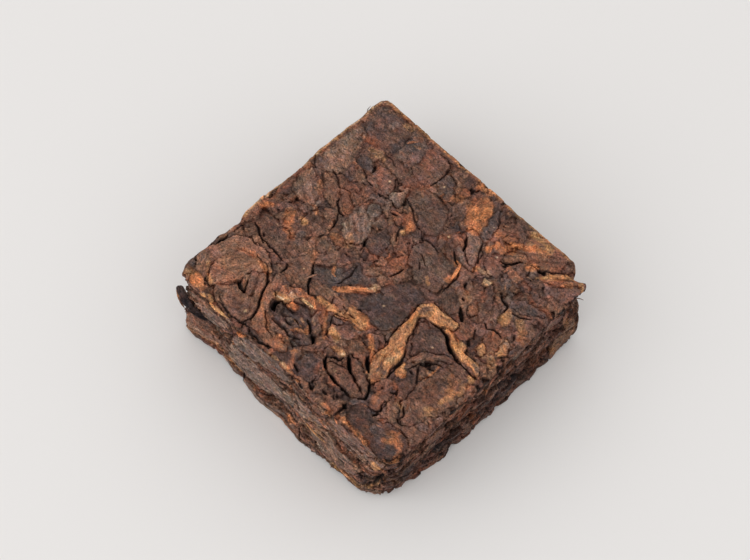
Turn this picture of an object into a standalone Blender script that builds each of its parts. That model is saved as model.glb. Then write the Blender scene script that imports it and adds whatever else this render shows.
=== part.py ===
# Mini brick of pressed dark tea leaves. It is one solid: a square block whose
# top is a relief of flat, curled and folded leaves, whose sides show the
# stacked leaf layers edge on, and whose base is pressed flat.
#
# Lengths are in millimetres until the block is scaled to metres. The origin is
# the middle of the base, +Z is up, and the sides run along X and Y. Words for
# the sides: front is -Y, back is +Y, left is -X and right is +X.

import math
import random

import bmesh
import bpy
from mathutils import Vector, noise

# Driving dimensions of the brick and of the core under its leaves
SIDE = 23.0
HEIGHT = 9.3
CORE_DROP = 0.6             # the core's top lies this far under the highest leaf
CORE_CELLS = 18             # cells along each side of the core
RIM_WIDTH = 1.6             # the band along the edges that follows the layers
LUMP_HEIGHT = 0.16          # soft unevenness of the core's top

# The stacked leaf layers seen at the sides
LAYER_THICKNESS = (0.75, 1.4)
LAYER_STEP = 0.3            # how far one layer steps in or out of the next
LAYER_WAVE = 0.6            # how far the layers rise and dip along a side
GAP_EVERY = 3               # a dark gap parts the stack after this many layers
GAP_THICKNESS = 0.24
GAP_DEPTH = 0.6
LEDGE = 0.08                # height of the step from one layer to the next
WORN_ENDS = 0.8             # a worn stretch fades out over this length

# The leaves of the top
LEAF_SINK = 0.06            # room above the highest leaf for its wave
LEAF_ROOT = 0.8             # depth of a leaf, most of it sunk in the core
LEAF_STEP = 1.1             # length of leaf between two cross sections
LEAF_WAVE = 0.1
LEAF_RAGGED = 0.22          # unevenness of a leaf's edge, as a share of its width
FILLER_SPACING = 3.7        # spacing of the small leaves between the large ones

# The flake edges at the sides
FLAKE_THICKNESS = 0.34
FLAKE_ROOT = 1.3            # how deep a side flake is set in the core
FLAKE_MARGIN = 2.5          # clear of flakes at each end of a side
FLAKES_PER_SIDE = {"front": 7, "right": 8, "back": 7, "left": 7}

SLIVER_WIDTH = 0.003        # thinner slivers that the union leaves are closed
METRE = 1000.0              # millimetres
SEED = 7

# Radius of each upright corner at the base and at the top. The front right
# corner is worn away towards the base, the back right one is chipped above.
CORNER_RADII = {
    (1, -1): (3.4, 1.2),
    (1, 1): (1.0, 1.9),
    (-1, 1): (0.9, 0.8),
    (-1, -1): (1.4, 1.3),
}

# Stretches along a side where layers have crumbled away, in words and numbers:
# side, from, to, lowest and highest point of the loss, and its depth
WORN_STRETCHES = [
    ("front", -10.5, -4.2, 0.0, 1.2, 0.7),
    ("front", 6.0, 11.5, 0.0, 1.0, 0.6),
    ("right", 1.5, 4.5, 1.6, 3.4, 0.8),
    ("right", -7.5, -4.0, 0.0, 1.2, 0.6),
    ("right", 8.0, 12.0, 4.6, 7.6, 0.45),
    ("back", 9.0, 12.0, 4.6, 7.6, 0.4),
    ("back", -2.0, 4.0, 0.0, 1.1, 0.6),
    ("left", -3.0, 5.0, 0.0, 1.3, 0.7),
    ("left", 6.5, 9.5, 3.2, 4.6, 0.6),
]

# Hollows between the leaves of the top: x, y, radius, depth
HOLLOWS = [
    (-7.3, -8.9, 0.9, 0.7),
    (-2.6, -8.2, 1.7, 0.6),
    (6.3, 1.9, 1.0, 0.8),
    (4.3, -6.6, 0.8, 0.6),
    (-4.0, -4.9, 1.0, 0.6),
    (-3.4, 9.4, 0.9, 0.5),
    (5.9, 7.6, 0.9, 0.5),
    (9.2, 2.6, 0.9, 0.5),
]

# The leaves that stand out on the top: the points along the middle, the width
# at each point, and the depth of the upper face under the block's full height
TOP_LEAVES = {
    "golden_arm_right": ([(3.7, 0.1), (5.4, 0.45), (6.9, 0.2), (8.6, -0.5), (10.4, -0.9)],
                         [1.0, 1.3, 1.3, 1.0, 0.5], 0.05),
    "golden_arm_down": ([(3.7, 0.3), (4.0, -1.6), (4.7, -3.4), (5.0, -5.2), (5.4, -7.3)],
                        [0.7, 0.8, 1.4, 1.8, 0.9], 0.0),
    "spiral_band": ([(-10.4, -5.6), (-9.8, -7.6), (-9.2, -9.6), (-8.2, -10.9), (-6.4, -11.1)],
                    [1.9, 2.2, 2.0, 1.4, 1.0], 0.25),
    "spiral_crown": ([(-9.0, -7.0), (-7.8, -6.7), (-6.7, -7.4), (-6.2, -8.7)],
                     [1.1, 1.1, 1.2, 0.9], 0.1),
    "spiral_lobe": ([(-8.0, -10.1), (-6.8, -10.2), (-5.4, -10.2)], [1.2, 1.7, 1.2], 0.05),
    "crescent": ([(-6.3, -6.3), (-5.5, -8.0), (-4.4, -9.6), (-2.9, -10.5), (-0.9, -10.5)],
                 [0.8, 1.0, 1.2, 1.2, 0.7], 0.2),
    "orange_curl": ([(-4.7, -7.6), (-4.3, -6.6), (-3.2, -6.1), (-1.8, -6.3)],
                    [0.8, 1.0, 1.0, 0.7], 0.1),
    "orange_strip": ([(-2.9, -5.4), (-1.2, -4.9), (0.4, -4.3), (2.2, -4.5)],
                     [0.8, 0.9, 0.9, 0.7], 0.1),
    "wrinkled_band": ([(-2.1, -5.8), (-0.7, -6.7), (0.1, -8.1)], [1.1, 1.3, 0.9], 0.2),
    "finger_upper": ([(2.6, -7.1), (4.2, -7.4), (5.5, -8.0), (6.0, -9.1)],
                     [0.8, 1.1, 1.1, 0.7], 0.1),
    "finger_lower": ([(1.9, -8.7), (3.6, -8.6), (5.3, -8.9)], [1.1, 1.3, 1.0], 0.05),
    "dull_leaf": ([(1.9, -5.9), (3.0, -6.1), (4.0, -6.6)], [1.1, 1.3, 0.8], 0.2),
    "middle_leaf": ([(0.2, -1.2), (1.7, -1.9), (3.2, -3.0)], [2.2, 2.8, 1.8], 0.35),
    "middle_leaf_back": ([(-0.8, 1.2), (1.2, 1.6), (3.1, 1.2)], [1.6, 2.2, 1.4], 0.3),
    "valley_leaf": ([(-3.9, -3.4), (-2.2, -3.0), (-0.4, -1.6)], [1.2, 1.1, 0.7], 0.45),
    "round_lump": ([(4.9, -1.5), (5.8, -1.8), (6.8, -2.0)], [1.4, 1.9, 1.3], 0.15),
    "curved_stem": ([(5.9, -3.5), (6.9, -2.9), (7.9, -2.2), (8.9, -1.6)],
                    [0.5, 0.6, 0.6, 0.4], 0.05),
    "orange_wedge": ([(6.4, -4.5), (6.6, -5.2), (6.9, -6.0)], [0.8, 1.0, 0.6], 0.15),
    "right_slab": ([(9.6, -1.9), (9.5, -3.9), (9.4, -6.0), (9.2, -7.9)],
                   [2.4, 2.9, 2.8, 2.0], 0.2),
    "corner_slab": ([(6.7, -10.2), (8.6, -10.1), (10.6, -10.1)], [2.0, 2.6, 2.0], 0.2),
    "front_leaf": ([(0.4, -10.1), (1.4, -10.2), (2.6, -10.4)], [1.4, 1.8, 1.1], 0.25),
    "brown_tab": ([(6.9, 0.9), (7.6, 1.2), (8.2, 1.7)], [1.0, 1.4, 1.0], 0.2),
    "crumb_left": ([(4.2, 2.8), (4.9, 2.1), (5.6, 1.3)], [1.3, 1.6, 1.1], 0.2),
    "crumb_middle": ([(6.0, 3.9), (6.6, 3.1), (7.2, 2.4)], [1.0, 1.1, 0.8], 0.15),
    "crumb_right": ([(7.2, 5.4), (7.6, 4.4), (7.9, 3.4)], [1.3, 1.3, 1.0], 0.3),
    "twisted_stick": ([(2.2, 8.2), (2.8, 7.0), (3.4, 6.0), (3.8, 5.0)],
                      [0.7, 1.0, 1.0, 0.7], 0.0),
    "smooth_facet": ([(4.3, 8.0), (5.0, 7.1), (5.5, 6.3)], [1.3, 1.7, 1.1], 0.2),
    "pebble_leaf": ([(8.3, 5.7), (9.5, 6.1), (10.7, 6.6)], [0.9, 1.4, 0.9], 0.1),
    "long_ridge": ([(5.0, 8.9), (6.5, 9.7), (8.2, 10.1), (9.4, 11.0)],
                   [1.0, 1.4, 1.4, 0.9], 0.1),
    "back_band": ([(6.6, 8.2), (8.6, 8.9), (10.6, 9.1)], [0.9, 1.4, 1.2], 0.25),
    "rust_patch": ([(0.9, 10.7), (1.2, 9.4), (1.7, 8.1)], [1.2, 1.6, 1.1], 0.2),
    "grey_leaf": ([(-3.7, 7.5), (-2.3, 6.6), (-0.9, 5.6)], [1.8, 2.7, 2.0], 0.1),
    "dark_leaf": ([(-3.0, 10.3), (-2.2, 9.3), (-1.3, 8.3)], [1.3, 1.6, 1.0], 0.3),
    "pink_leaf": ([(-4.7, 10.9), (-4.9, 9.6), (-5.3, 8.3)], [1.7, 2.2, 1.5], 0.15),
    "rust_leaf": ([(-3.3, 4.2), (-2.4, 4.5), (-1.6, 4.8)], [0.8, 1.3, 0.9], 0.15),
    "long_leaf": ([(-9.9, 3.4), (-8.2, 2.6), (-6.5, 1.8)], [1.2, 1.6, 1.2], 0.15),
    "fan_leaf": ([(-4.3, 6.7), (-4.7, 5.8), (-5.0, 5.0)], [0.6, 1.1, 1.3], 0.1),
    "ledge_leaf": ([(-10.2, -3.6), (-8.4, -3.8), (-6.4, -3.9)], [1.5, 1.9, 1.5], 0.1),
    "dusky_leaf": ([(-3.3, 2.7), (-2.7, 1.7), (-2.3, 0.6)], [1.1, 1.6, 1.1], 0.25),
    "back_left_leaf": ([(-9.4, 9.9), (-7.9, 9.2), (-6.6, 8.4)], [1.5, 2.0, 1.3], 0.2),
    "left_leaf": ([(-9.9, 7.6), (-9.3, 6.2), (-8.6, 5.1)], [1.4, 1.8, 1.2], 0.2),
}

# The flake that has peeled off the front side near the left corner: the points
# along its middle as (x, y, height), and its width
PEELED_FLAKE = {
    "points": [(-8.0, -11.1, 5.9), (-9.6, -11.6, 6.3), (-10.9, -11.7, 7.0), (-11.8, -11.6, 7.9)],
    "width": 1.1,
    "thickness": 0.4,
}

# Material from the photo: dark brown, dry and rough
TEA_COLOUR = (0.14, 0.072, 0.05, 1.0)
TEA_ROUGHNESS = 0.75


def smooth_step(low, high, value):
    """0 below low, 1 above high, and a smooth rise between them."""
    t = min(max((value - low) / (high - low), 0.0), 1.0)
    return t * t * (3.0 - 2.0 * t)


def between(points, t):
    """The point at t from 0 to 1 along a smooth curve through the points."""
    points = [Vector(point) for point in points]
    place = t * (len(points) - 1)
    first = min(int(place), len(points) - 2)
    before = points[max(first - 1, 0)]
    start = points[first]
    end = points[first + 1]
    after = points[min(first + 2, len(points) - 1)]
    u = place - first
    slope_start = (end - before) / 2
    slope_end = (after - start) / 2
    return ((2 * u ** 3 - 3 * u ** 2 + 1) * start + (u ** 3 - 2 * u ** 2 + u) * slope_start
            + (-2 * u ** 3 + 3 * u ** 2) * end + (u ** 3 - u ** 2) * slope_end)


def path_length(points):
    """The length of the straight runs between the points."""
    runs = zip(points, points[1:])
    return sum((Vector(end) - Vector(start)).length for start, end in runs)


def side_of(x, y):
    """The side that a point near the rim belongs to, and the place along it."""
    if abs(x) > abs(y):
        return ("right" if x > 0 else "left"), y
    return ("back" if y > 0 else "front"), x


def layer_stack(rng):
    """The layers from the base up, each as its top and how deep it is set in.
    A gap opens only along parts of the sides, so its depth is worked out later."""
    stack = []
    top = 0.0
    while top < HEIGHT - CORE_DROP - LAYER_THICKNESS[1]:
        top += rng.uniform(*LAYER_THICKNESS)
        stack.append((top, rng.uniform(-0.12, 0.12)))
        if len(stack) % GAP_EVERY == GAP_EVERY - 1:
            top += GAP_THICKNESS
            stack.append((top, "gap"))
    stack.append((HEIGHT, 0.0))
    return stack


def layer_inset(x, y, z, stack):
    """How far the block's side lies inside the plain square at this point."""
    side, along = side_of(x, y)
    layer = next(index for index, (top, _) in enumerate(stack) if z < top)
    place = Vector((x * 0.3, y * 0.3, layer * 3.7))
    if stack[layer][1] == "gap":
        inset = GAP_DEPTH * smooth_step(-0.1, 0.3, noise.noise(place))
    else:
        inset = stack[layer][1] + LAYER_STEP * (0.35 + 1.2 * noise.noise(place))
    for worn_side, start, end, low, high, depth in WORN_STRETCHES:
        if worn_side == side and low <= z <= high:
            begun = smooth_step(start - WORN_ENDS, start + WORN_ENDS, along)
            ended = smooth_step(end - WORN_ENDS, end + WORN_ENDS, along)
            inset += depth * begun * (1.0 - ended)
    return inset


def round_corner(x, y, z):
    """Moves a point of the square cross section to one with round corners."""
    base_radius, top_radius = CORNER_RADII[(1 if x > 0 else -1, 1 if y > 0 else -1)]
    radius = base_radius + (top_radius - base_radius) * min(z / HEIGHT, 1.0)
    middle = SIDE / 2 - radius
    over_x = abs(x) - middle
    over_y = abs(y) - middle
    if over_x <= 0 or over_y <= 0:
        return x, y
    shrink = max(over_x, over_y) / math.hypot(over_x, over_y)
    new_x = math.copysign(middle + over_x * shrink, x)
    new_y = math.copysign(middle + over_y * shrink, y)
    return new_x, new_y


def top_dip(x, y):
    """How far the core's top lies under its plain level at this point."""
    dip = LUMP_HEIGHT * noise.noise(Vector((x * 0.55, y * 0.55, 2.0)))
    for hollow_x, hollow_y, radius, depth in HOLLOWS:
        away = math.hypot(x - hollow_x, y - hollow_y)
        dip += depth * (1.0 - smooth_step(radius * 0.4, radius * 1.3, away))
    return dip


def core_point(plain, stack):
    """The place in the core of a point of the plain square block."""
    x, y, z = plain
    is_top = z > HEIGHT - CORE_DROP - 0.001
    rim = smooth_step(SIDE / 2 - RIM_WIDTH, SIDE / 2, max(abs(x), abs(y)))
    inset = layer_inset(x, y, z, stack) * rim
    new_x, new_y = round_corner(x, y, z)
    reach = math.hypot(new_x, new_y)
    if reach > 0:
        new_x -= new_x / reach * inset
        new_y -= new_y / reach * inset
    wave = LAYER_WAVE * noise.noise(Vector((x * 0.35, y * 0.35, 5.0 + z * 0.15)))
    new_z = z + wave * smooth_step(0.0, 2.0, z) * rim
    if is_top:
        new_z -= top_dip(x, y)
    return Vector((new_x, new_y, new_z))


def pressed_core(rng):
    """The block under the leaves, with layered sides and a flat base."""
    stack = layer_stack(rng)
    core_height = HEIGHT - CORE_DROP
    cell = SIDE / CORE_CELLS
    cuts = [(axis, cell * number - SIDE / 2) for axis in (0, 1) for number in range(1, CORE_CELLS)]
    for top, _ in stack[:-1]:
        cuts += [(2, top - LEDGE / 2), (2, top + LEDGE / 2)]

    bm = bmesh.new()
    bmesh.ops.create_cube(bm, size=1.0)
    bmesh.ops.translate(bm, verts=bm.verts[:], vec=(0, 0, 0.5))
    bmesh.ops.scale(bm, verts=bm.verts[:], vec=(SIDE, SIDE, core_height))
    for axis, place in cuts:
        normal = Vector((0, 0, 0))
        normal[axis] = 1.0
        everything = bm.verts[:] + bm.edges[:] + bm.faces[:]
        bmesh.ops.bisect_plane(bm, geom=everything, plane_co=normal * place, plane_no=normal, dist=1e-5)
    for vertex in bm.verts:
        vertex.co = core_point(vertex.co, stack)
    base_faces = [face for face in bm.faces if face.calc_center_median().z < 1e-4]
    bmesh.ops.dissolve_faces(bm, faces=base_faces, use_verts=True)
    return bm


def blade(place, length_cells, width_cells):
    """A closed thin wavy solid. place(t, s) gives its upper and lower points,
    for t from 0 to 1 along it and s from -1 to 1 across it."""
    bm = bmesh.new()
    bmesh.ops.create_grid(bm, x_segments=length_cells, y_segments=width_cells, size=1.0)
    bmesh.ops.triangulate(bm, faces=bm.faces[:])
    lower_of = {}
    for vertex in bm.verts:
        along = (vertex.co.x + 1) / 2
        upper, lower = place(along, vertex.co.y)
        vertex.co = upper
        lower_of[tuple(vertex.co)] = lower
    grown = bmesh.ops.extrude_face_region(bm, geom=bm.faces[:])
    for item in grown["geom"]:
        if isinstance(item, bmesh.types.BMVert):
            item.co = lower_of[tuple(item.co)]
    bmesh.ops.recalc_face_normals(bm, faces=bm.faces[:])
    return bm


def end_taper(t):
    """The leaf's width at t, as a share of its full width: its ends are blunt."""
    return 0.45 + 0.55 * math.sqrt(max(1.0 - (2 * t - 1) ** 2, 0.0))


def top_leaf(points, widths, depth, rng):
    """A leaf pressed into the top, with a wavy upper face and a ragged edge."""
    phase = rng.uniform(0, 10)
    crown = rng.uniform(0.02, 0.12)
    tilt = rng.uniform(-0.14, 0.14)
    length = path_length(points)

    def place(t, s):
        middle = between(points, t)
        ahead = between(points, min(t + 0.02, 1.0)) - between(points, max(t - 0.02, 0.0))
        across = Vector((-ahead.y, ahead.x)).normalized()
        width = between([(w, 0) for w in widths], t).x * end_taper(t)
        ragged = 1.0 + LEAF_RAGGED * noise.noise(Vector((t * length * 0.9, s * 2.0, phase)))
        flat = middle + across * (s * width / 2 * ragged)
        wave = LEAF_WAVE * noise.noise(Vector((flat.x * 0.8, flat.y * 0.8, phase)))
        z = HEIGHT - LEAF_SINK - depth - crown * s * s + tilt * s + wave
        upper = Vector((flat.x, flat.y, min(z, HEIGHT)))
        inward = middle + (flat - middle) * 0.92
        return upper, Vector((inward.x, inward.y, z - LEAF_ROOT))

    length_cells = max(2, round(length / LEAF_STEP))
    width_cells = max(2, round(max(widths) / LEAF_STEP))
    return blade(place, length_cells, width_cells)


def filler_leaves(rng):
    """Small leaves on a loose grid, which fill the top between the others."""
    count = int(SIDE / FILLER_SPACING)
    leaves = []
    for row in range(count):
        for column in range(count):
            x = (column - (count - 1) / 2) * FILLER_SPACING + rng.uniform(-0.9, 0.9)
            y = (row - (count - 1) / 2) * FILLER_SPACING + rng.uniform(-0.9, 0.9)
            turn = rng.uniform(0, math.pi)
            half = Vector((math.cos(turn), math.sin(turn))) * rng.uniform(1.4, 2.0)
            points = [Vector((x, y)) - half, Vector((x, y)) + half]
            width = rng.uniform(2.2, 3.0)
            leaves.append(top_leaf(points, [width, width], rng.uniform(0.25, 0.42), rng))
    return leaves


def side_flake(side, along, height, length, reach, rng):
    """A flake edge that sticks out of a side: a level, wavy tongue."""
    outward = {"front": Vector((0, -1, 0)), "back": Vector((0, 1, 0)),
               "left": Vector((-1, 0, 0)), "right": Vector((1, 0, 0))}[side]
    sideways = Vector((-outward.y, outward.x, 0))
    if side in ("front", "right"):
        start = sideways * along
    else:
        start = sideways * -along
    slope = rng.uniform(-0.08, 0.08)
    phase = rng.uniform(0, 10)

    def place(t, s):
        run = (t - 0.5) * length
        out = SIDE / 2 - FLAKE_ROOT + (s + 1) / 2 * (FLAKE_ROOT + reach * end_taper(t))
        out -= 0.15 * (1 + noise.noise(Vector((run * 0.7, phase, 0)))) * (s + 1) / 2
        wave = 0.12 * noise.noise(Vector((run * 0.5, s, phase)))
        middle = start + sideways * run + outward * out
        z = height + slope * run + wave
        thickness = FLAKE_THICKNESS * (1.0 - 0.35 * (s + 1) / 2)
        return middle + Vector((0, 0, z)), middle + Vector((0, 0, z - thickness))

    return blade(place, max(3, round(length / 1.3)), 2)


def side_flakes(rng):
    """Flake edges round all four sides, more of them on the rough right side."""
    flakes = []
    run = SIDE - 2 * FLAKE_MARGIN
    for side, count in FLAKES_PER_SIDE.items():
        for number in range(count):
            along = ((number + 0.5) / count - 0.5) * run + rng.uniform(-0.7, 0.7)
            height = 1.7 + (number * 0.38 % 1.0) * (HEIGHT - 3.3) + rng.uniform(-0.3, 0.3)
            length = rng.uniform(2.2, 4.6)
            reach = rng.uniform(0.0, 0.25)
            flakes.append(side_flake(side, along, height, length, reach, rng))
    return flakes


def peeled_flake():
    """The dark flake at the left corner, which curls up and away from the side."""
    points = PEELED_FLAKE["points"]

    def place(t, s):
        middle = between(points, t)
        ahead = between(points, min(t + 0.02, 1.0)) - between(points, max(t - 0.02, 0.0))
        upward = Vector((0, 0, 1)) - ahead.normalized() * ahead.normalized().z
        upward.normalize()
        outward = ahead.cross(upward).normalized()
        width = PEELED_FLAKE["width"] * (0.7 + 0.3 * end_taper(t))
        spot = middle + upward * (s * width / 2)
        half = outward * PEELED_FLAKE["thickness"] / 2 * (1.0 - 0.4 * s * s)
        return spot + half, spot - half

    return blade(place, 7, 3)


def as_object(bm, name, collection):
    """Scales the shape to metres and makes it an object of the collection."""
    bmesh.ops.scale(bm, vec=(1 / METRE,) * 3, verts=bm.verts[:])
    mesh = bpy.data.meshes.new(name)
    bm.to_mesh(mesh)
    bm.free()
    made = bpy.data.objects.new(name, mesh)
    collection.objects.link(made)
    return made


def tea_material():
    """Dry pressed tea: dark brown and rough."""
    material = bpy.data.materials.new("tea")
    material.use_nodes = True
    shader = material.node_tree.nodes["Principled BSDF"]
    shader.inputs["Base Color"].default_value = TEA_COLOUR
    shader.inputs["Roughness"].default_value = TEA_ROUGHNESS
    shader.inputs["Metallic"].default_value = 0.0
    return material


def fuse(core, pieces):
    """Joins the collection's pieces to the core in one union, and removes them."""
    union = core.modifiers.new("union", "BOOLEAN")
    union.operation = "UNION"
    union.solver = "EXACT"
    union.operand_type = "COLLECTION"
    union.collection = pieces
    bpy.context.view_layer.objects.active = core
    bpy.ops.object.modifier_apply(modifier=union.name)
    for piece in list(pieces.objects):
        bpy.data.objects.remove(piece)
    bpy.data.collections.remove(pieces)


def keep_outer_shell(core):
    """Fills each hollow that the union sealed, and drops each loose scrap: of the
    shells whose faces join at edges, only the largest is kept."""
    bm = bmesh.new()
    bm.from_mesh(core.data)
    bmesh.ops.remove_doubles(bm, verts=bm.verts[:], dist=SLIVER_WIDTH / METRE)
    bmesh.ops.triangulate(bm, faces=bm.faces[:])
    bmesh.ops.dissolve_degenerate(bm, edges=bm.edges[:], dist=SLIVER_WIDTH / METRE)
    unseen = set(bm.faces)
    shells = []
    while unseen:
        shell = [unseen.pop()]
        for face in shell:
            for edge in face.edges:
                neighbours = [other for other in edge.link_faces if other in unseen]
                unseen.difference_update(neighbours)
                shell.extend(neighbours)
        shells.append(shell)
    shells.sort(key=len)
    for shell in shells[:-1]:
        bmesh.ops.delete(bm, geom=shell, context="FACES")
    bm.to_mesh(core.data)
    bm.free()


def main():
    for old in list(bpy.data.objects):
        bpy.data.objects.remove(old)
    brick = bpy.data.collections.new("tea_brick")
    pieces = bpy.data.collections.new("leaves_to_fuse")
    bpy.context.scene.collection.children.link(brick)
    bpy.context.scene.collection.children.link(pieces)

    rng = random.Random(SEED)
    shapes = [top_leaf(points, widths, depth, rng)
              for points, widths, depth in TOP_LEAVES.values()]
    shapes += filler_leaves(rng)
    shapes += side_flakes(rng)
    shapes.append(peeled_flake())
    for number, shape in enumerate(shapes):
        as_object(shape, f"leaf_{number:03d}", pieces)

    core = as_object(pressed_core(rng), "tea_brick", brick)
    core.data.materials.append(tea_material())
    fuse(core, pieces)
    keep_outer_shell(core)


main()
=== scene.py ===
import math

import bmesh
import bpy
import numpy as np
from mathutils import Matrix, Vector


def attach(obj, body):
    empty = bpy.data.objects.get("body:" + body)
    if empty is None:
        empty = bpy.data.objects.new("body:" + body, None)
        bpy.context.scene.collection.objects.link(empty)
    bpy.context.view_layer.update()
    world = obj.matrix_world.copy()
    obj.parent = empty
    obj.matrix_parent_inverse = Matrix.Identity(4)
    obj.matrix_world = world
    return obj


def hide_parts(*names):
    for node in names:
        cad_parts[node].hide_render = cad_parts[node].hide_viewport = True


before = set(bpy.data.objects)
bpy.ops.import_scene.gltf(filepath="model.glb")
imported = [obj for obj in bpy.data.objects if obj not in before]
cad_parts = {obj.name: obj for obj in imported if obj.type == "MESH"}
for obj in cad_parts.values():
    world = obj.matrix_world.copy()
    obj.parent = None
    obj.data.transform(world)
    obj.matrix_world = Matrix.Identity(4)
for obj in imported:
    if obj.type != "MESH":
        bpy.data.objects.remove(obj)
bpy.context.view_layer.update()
mm = 0.001

# Sizes are in millimetres, in the brick's own frame: the sides run along X and Y, and the base is at z = 0
brick = {
    "side": 23.0,
    "height": 9.3,
    "topPlane": 8.95,           # mean level of the leaves on top
    "low": (-12.1, -12.1),      # how far the leaves reach in x and y
    "high": (12.0, 11.9),
    "cornerRadii": {            # at the base and at the top
        (1, -1): (2.9, 1.1),
        (1, 1): (1.0, 1.5),
        (-1, 1): (0.6, 0.35),
        (-1, -1): (1.2, 1.0),
    },
}
halfSide = brick["side"] / 2

# Colours as they look in soft daylight, 0 to 255
palette = {
    "soot": (44, 33, 29),
    "dark": (74, 54, 46),
    "slate": (82, 71, 68),
    "umber": (104, 74, 58),
    "brown": (129, 93, 72),
    "mauve": (121, 86, 73),
    "rust": (139, 84, 55),
    "orange": (192, 122, 75),
    "gold": (190, 140, 92),
    "cream": (216, 183, 146),
    "ash": (126, 108, 96),
}


def linear(name):
    shade = np.array(palette[name]) / 255
    return np.where(shade <= 0.04045, shade / 12.92, ((shade + 0.055) / 1.055) ** 2.4)


lattices = [np.random.default_rng(seed).uniform(-1, 1, (64, 64)) for seed in range(40)]


def softNoise(x, y, size, seed):
    # smooth bumps of about this size, from -1 to 1
    lattice = lattices[seed % 40]
    u = np.asarray(x, float) / size + 640 + seed * 0.37 % 64
    v = np.asarray(y, float) / size + 640 + seed * 0.61 % 64
    i = np.floor(u).astype(int)
    j = np.floor(v).astype(int)
    f = u - i
    g = v - j
    f = f * f * (3 - 2 * f)
    g = g * g * (3 - 2 * g)
    near = lattice[i % 64, j % 64] * (1 - g) + lattice[i % 64, (j + 1) % 64] * g
    far = lattice[(i + 1) % 64, j % 64] * (1 - g) + lattice[(i + 1) % 64, (j + 1) % 64] * g
    return near * (1 - f) + far * f


def smoothStep(low, high, value):
    t = np.clip((value - low) / (high - low), 0, 1)
    return t * t * (3 - 2 * t)


def pairs(numbers):
    # the points that a flat row of numbers gives
    return np.reshape(np.array(numbers, float), (-1, 2))


def alongCurve(points, t):
    # points on a smooth curve through the given ones, for t from 0 to 1
    points = np.array(points, float)
    place = np.clip(t, 0, 1) * (len(points) - 1)
    first = np.minimum(place.astype(int), len(points) - 2)
    u = (place - first)[:, None]
    start, end = points[first], points[first + 1]
    slopeIn = (end - points[np.maximum(first - 1, 0)]) / 2
    slopeOut = (points[np.minimum(first + 2, len(points) - 1)] - start) / 2
    return ((2 * u**3 - 3 * u**2 + 1) * start + (u**3 - 2 * u**2 + u) * slopeIn
            + (3 * u**2 - 2 * u**3) * end + (u**3 - u**2) * slopeOut)


# the brick's outline, from the plain square to the worn one
edgeBumps = {                   # place along the side, half length, height, half height, how far out
    "front": [
        (-7.4, 2.4, 0, 1.8, -0.12), (-2.8, 1.6, 0.6, 1.6, 0.3), (-0.6, 1.6, 0.6, 1.4, 0.25),
        (2.7, 0.7, 0, 1.4, 0.35), (10.9, 1.6, 4.2, 2.4, -0.4), (6.8, 3, 0.6, 2.4, 0.3),
        (1.6, 0.9, 0.6, 1.3, 0.35), (-10.2, 0.9, 0.8, 1.6, 0.3), (4.5, 1.5, 0.6, 1.2, 0.2),
        (0, 40, 1.2, 2.5, 0.06)],
    "right": [
        (-9.2, 1.5, 0.6, 1.6, -0.3), (11.2, 1.8, 7.1, 1.6, -1.05), (9.9, 1.4, 2.6, 1.6, 0.2),
        (11, 0.9, 9.3, 0.7, 0.5), (-10.9, 1.8, 4.2, 2.4, -0.4), (-7.4, 0.7, 1.6, 1, -0.3),
        (-4.9, 0.9, 0.6, 1.2, 0.3), (-3.6, 0.5, 0.4, 1.1, -0.35), (-2, 0.8, 0.6, 1, 0.2),
        (2.3, 1.4, 3.2, 0.8, -0.3), (0.8, 0.6, 0.5, 1.1, 0.2), (7.6, 1, 0.6, 1.4, 0.3),
        (2.6, 1.3, 0.5, 0.9, 0.4), (5.2, 1.2, 0.5, 1, 0.25), (0, 40, 1.2, 2.5, 0.12)],
    "back": [
        (0, 40, 9, 4, 0.34), (0.5, 2.5, 9, 9, 0.12), (8.8, 0.8, 9, 3, 0.15), (10.7, 1, 9, 2.2, -0.95),
        (-6.6, 0.5, 9, 4, -0.15), (11.2, 1.5, 7, 1.6, -0.9)],
    "left": [
        (0, 40, 9, 4, 0.28), (4, 1, 9, 4, 0.25), (-1, 0.25, 9, 2, -0.12), (3.6, 0.3, 9, 2, -0.1),
        (8, 2.5, 9, 9, 0.15), (-2.4, 2.2, 9, 4, 0.3), (-7, 0.35, 9, 2, 0.22), (-0.9, 0.35, 9, 2, 0.14),
        (4.3, 0.4, 9, 2, 0.16), (-5, 0.5, 9, 2, -0.16), (-6.4, 1.3, 9, 5, -0.2), (-9.6, 1.4, 9, 9, 0.05),
        (-11.3, 0.8, 6.5, 1.2, -0.4)],
}


def sideAndPlace(x, y):
    # which side a point near the rim belongs to, and its place along that side
    onX = np.abs(x) > np.abs(y)
    side = np.where(onX, np.where(x > 0, "right", "left"), np.where(y > 0, "back", "front"))
    return side, np.where(onX, y, x)


def roundedSquare(x, y, z):
    # the point with the corners rounded off, and the way out of the brick there
    share = np.clip(z / brick["height"], 0, 1)
    radius = np.zeros_like(x)
    for (signX, signY), (low, high) in brick["cornerRadii"].items():
        mine = (np.where(x > 0, 1, -1) == signX) & (np.where(y > 0, 1, -1) == signY)
        radius = np.where(mine, low + (high - low) * share, radius)
    middle = halfSide - radius
    overX = np.abs(x) - middle
    overY = np.abs(y) - middle
    corner = (overX > 0) & (overY > 0)
    reach = np.where(corner, np.hypot(overX, overY), 1)
    shrink = np.where(corner, np.maximum(overX, overY) / reach, 1)
    newX = np.where(corner, np.sign(x) * (middle + overX * shrink), x)
    newY = np.where(corner, np.sign(y) * (middle + overY * shrink), y)
    onX = np.abs(x) > np.abs(y)
    outX = np.where(corner, np.sign(x) * overX / reach, np.where(onX, np.sign(x), 0))
    outY = np.where(corner, np.sign(y) * overY / reach, np.where(onX, 0, np.sign(y)))
    return newX, newY, outX, outY


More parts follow.
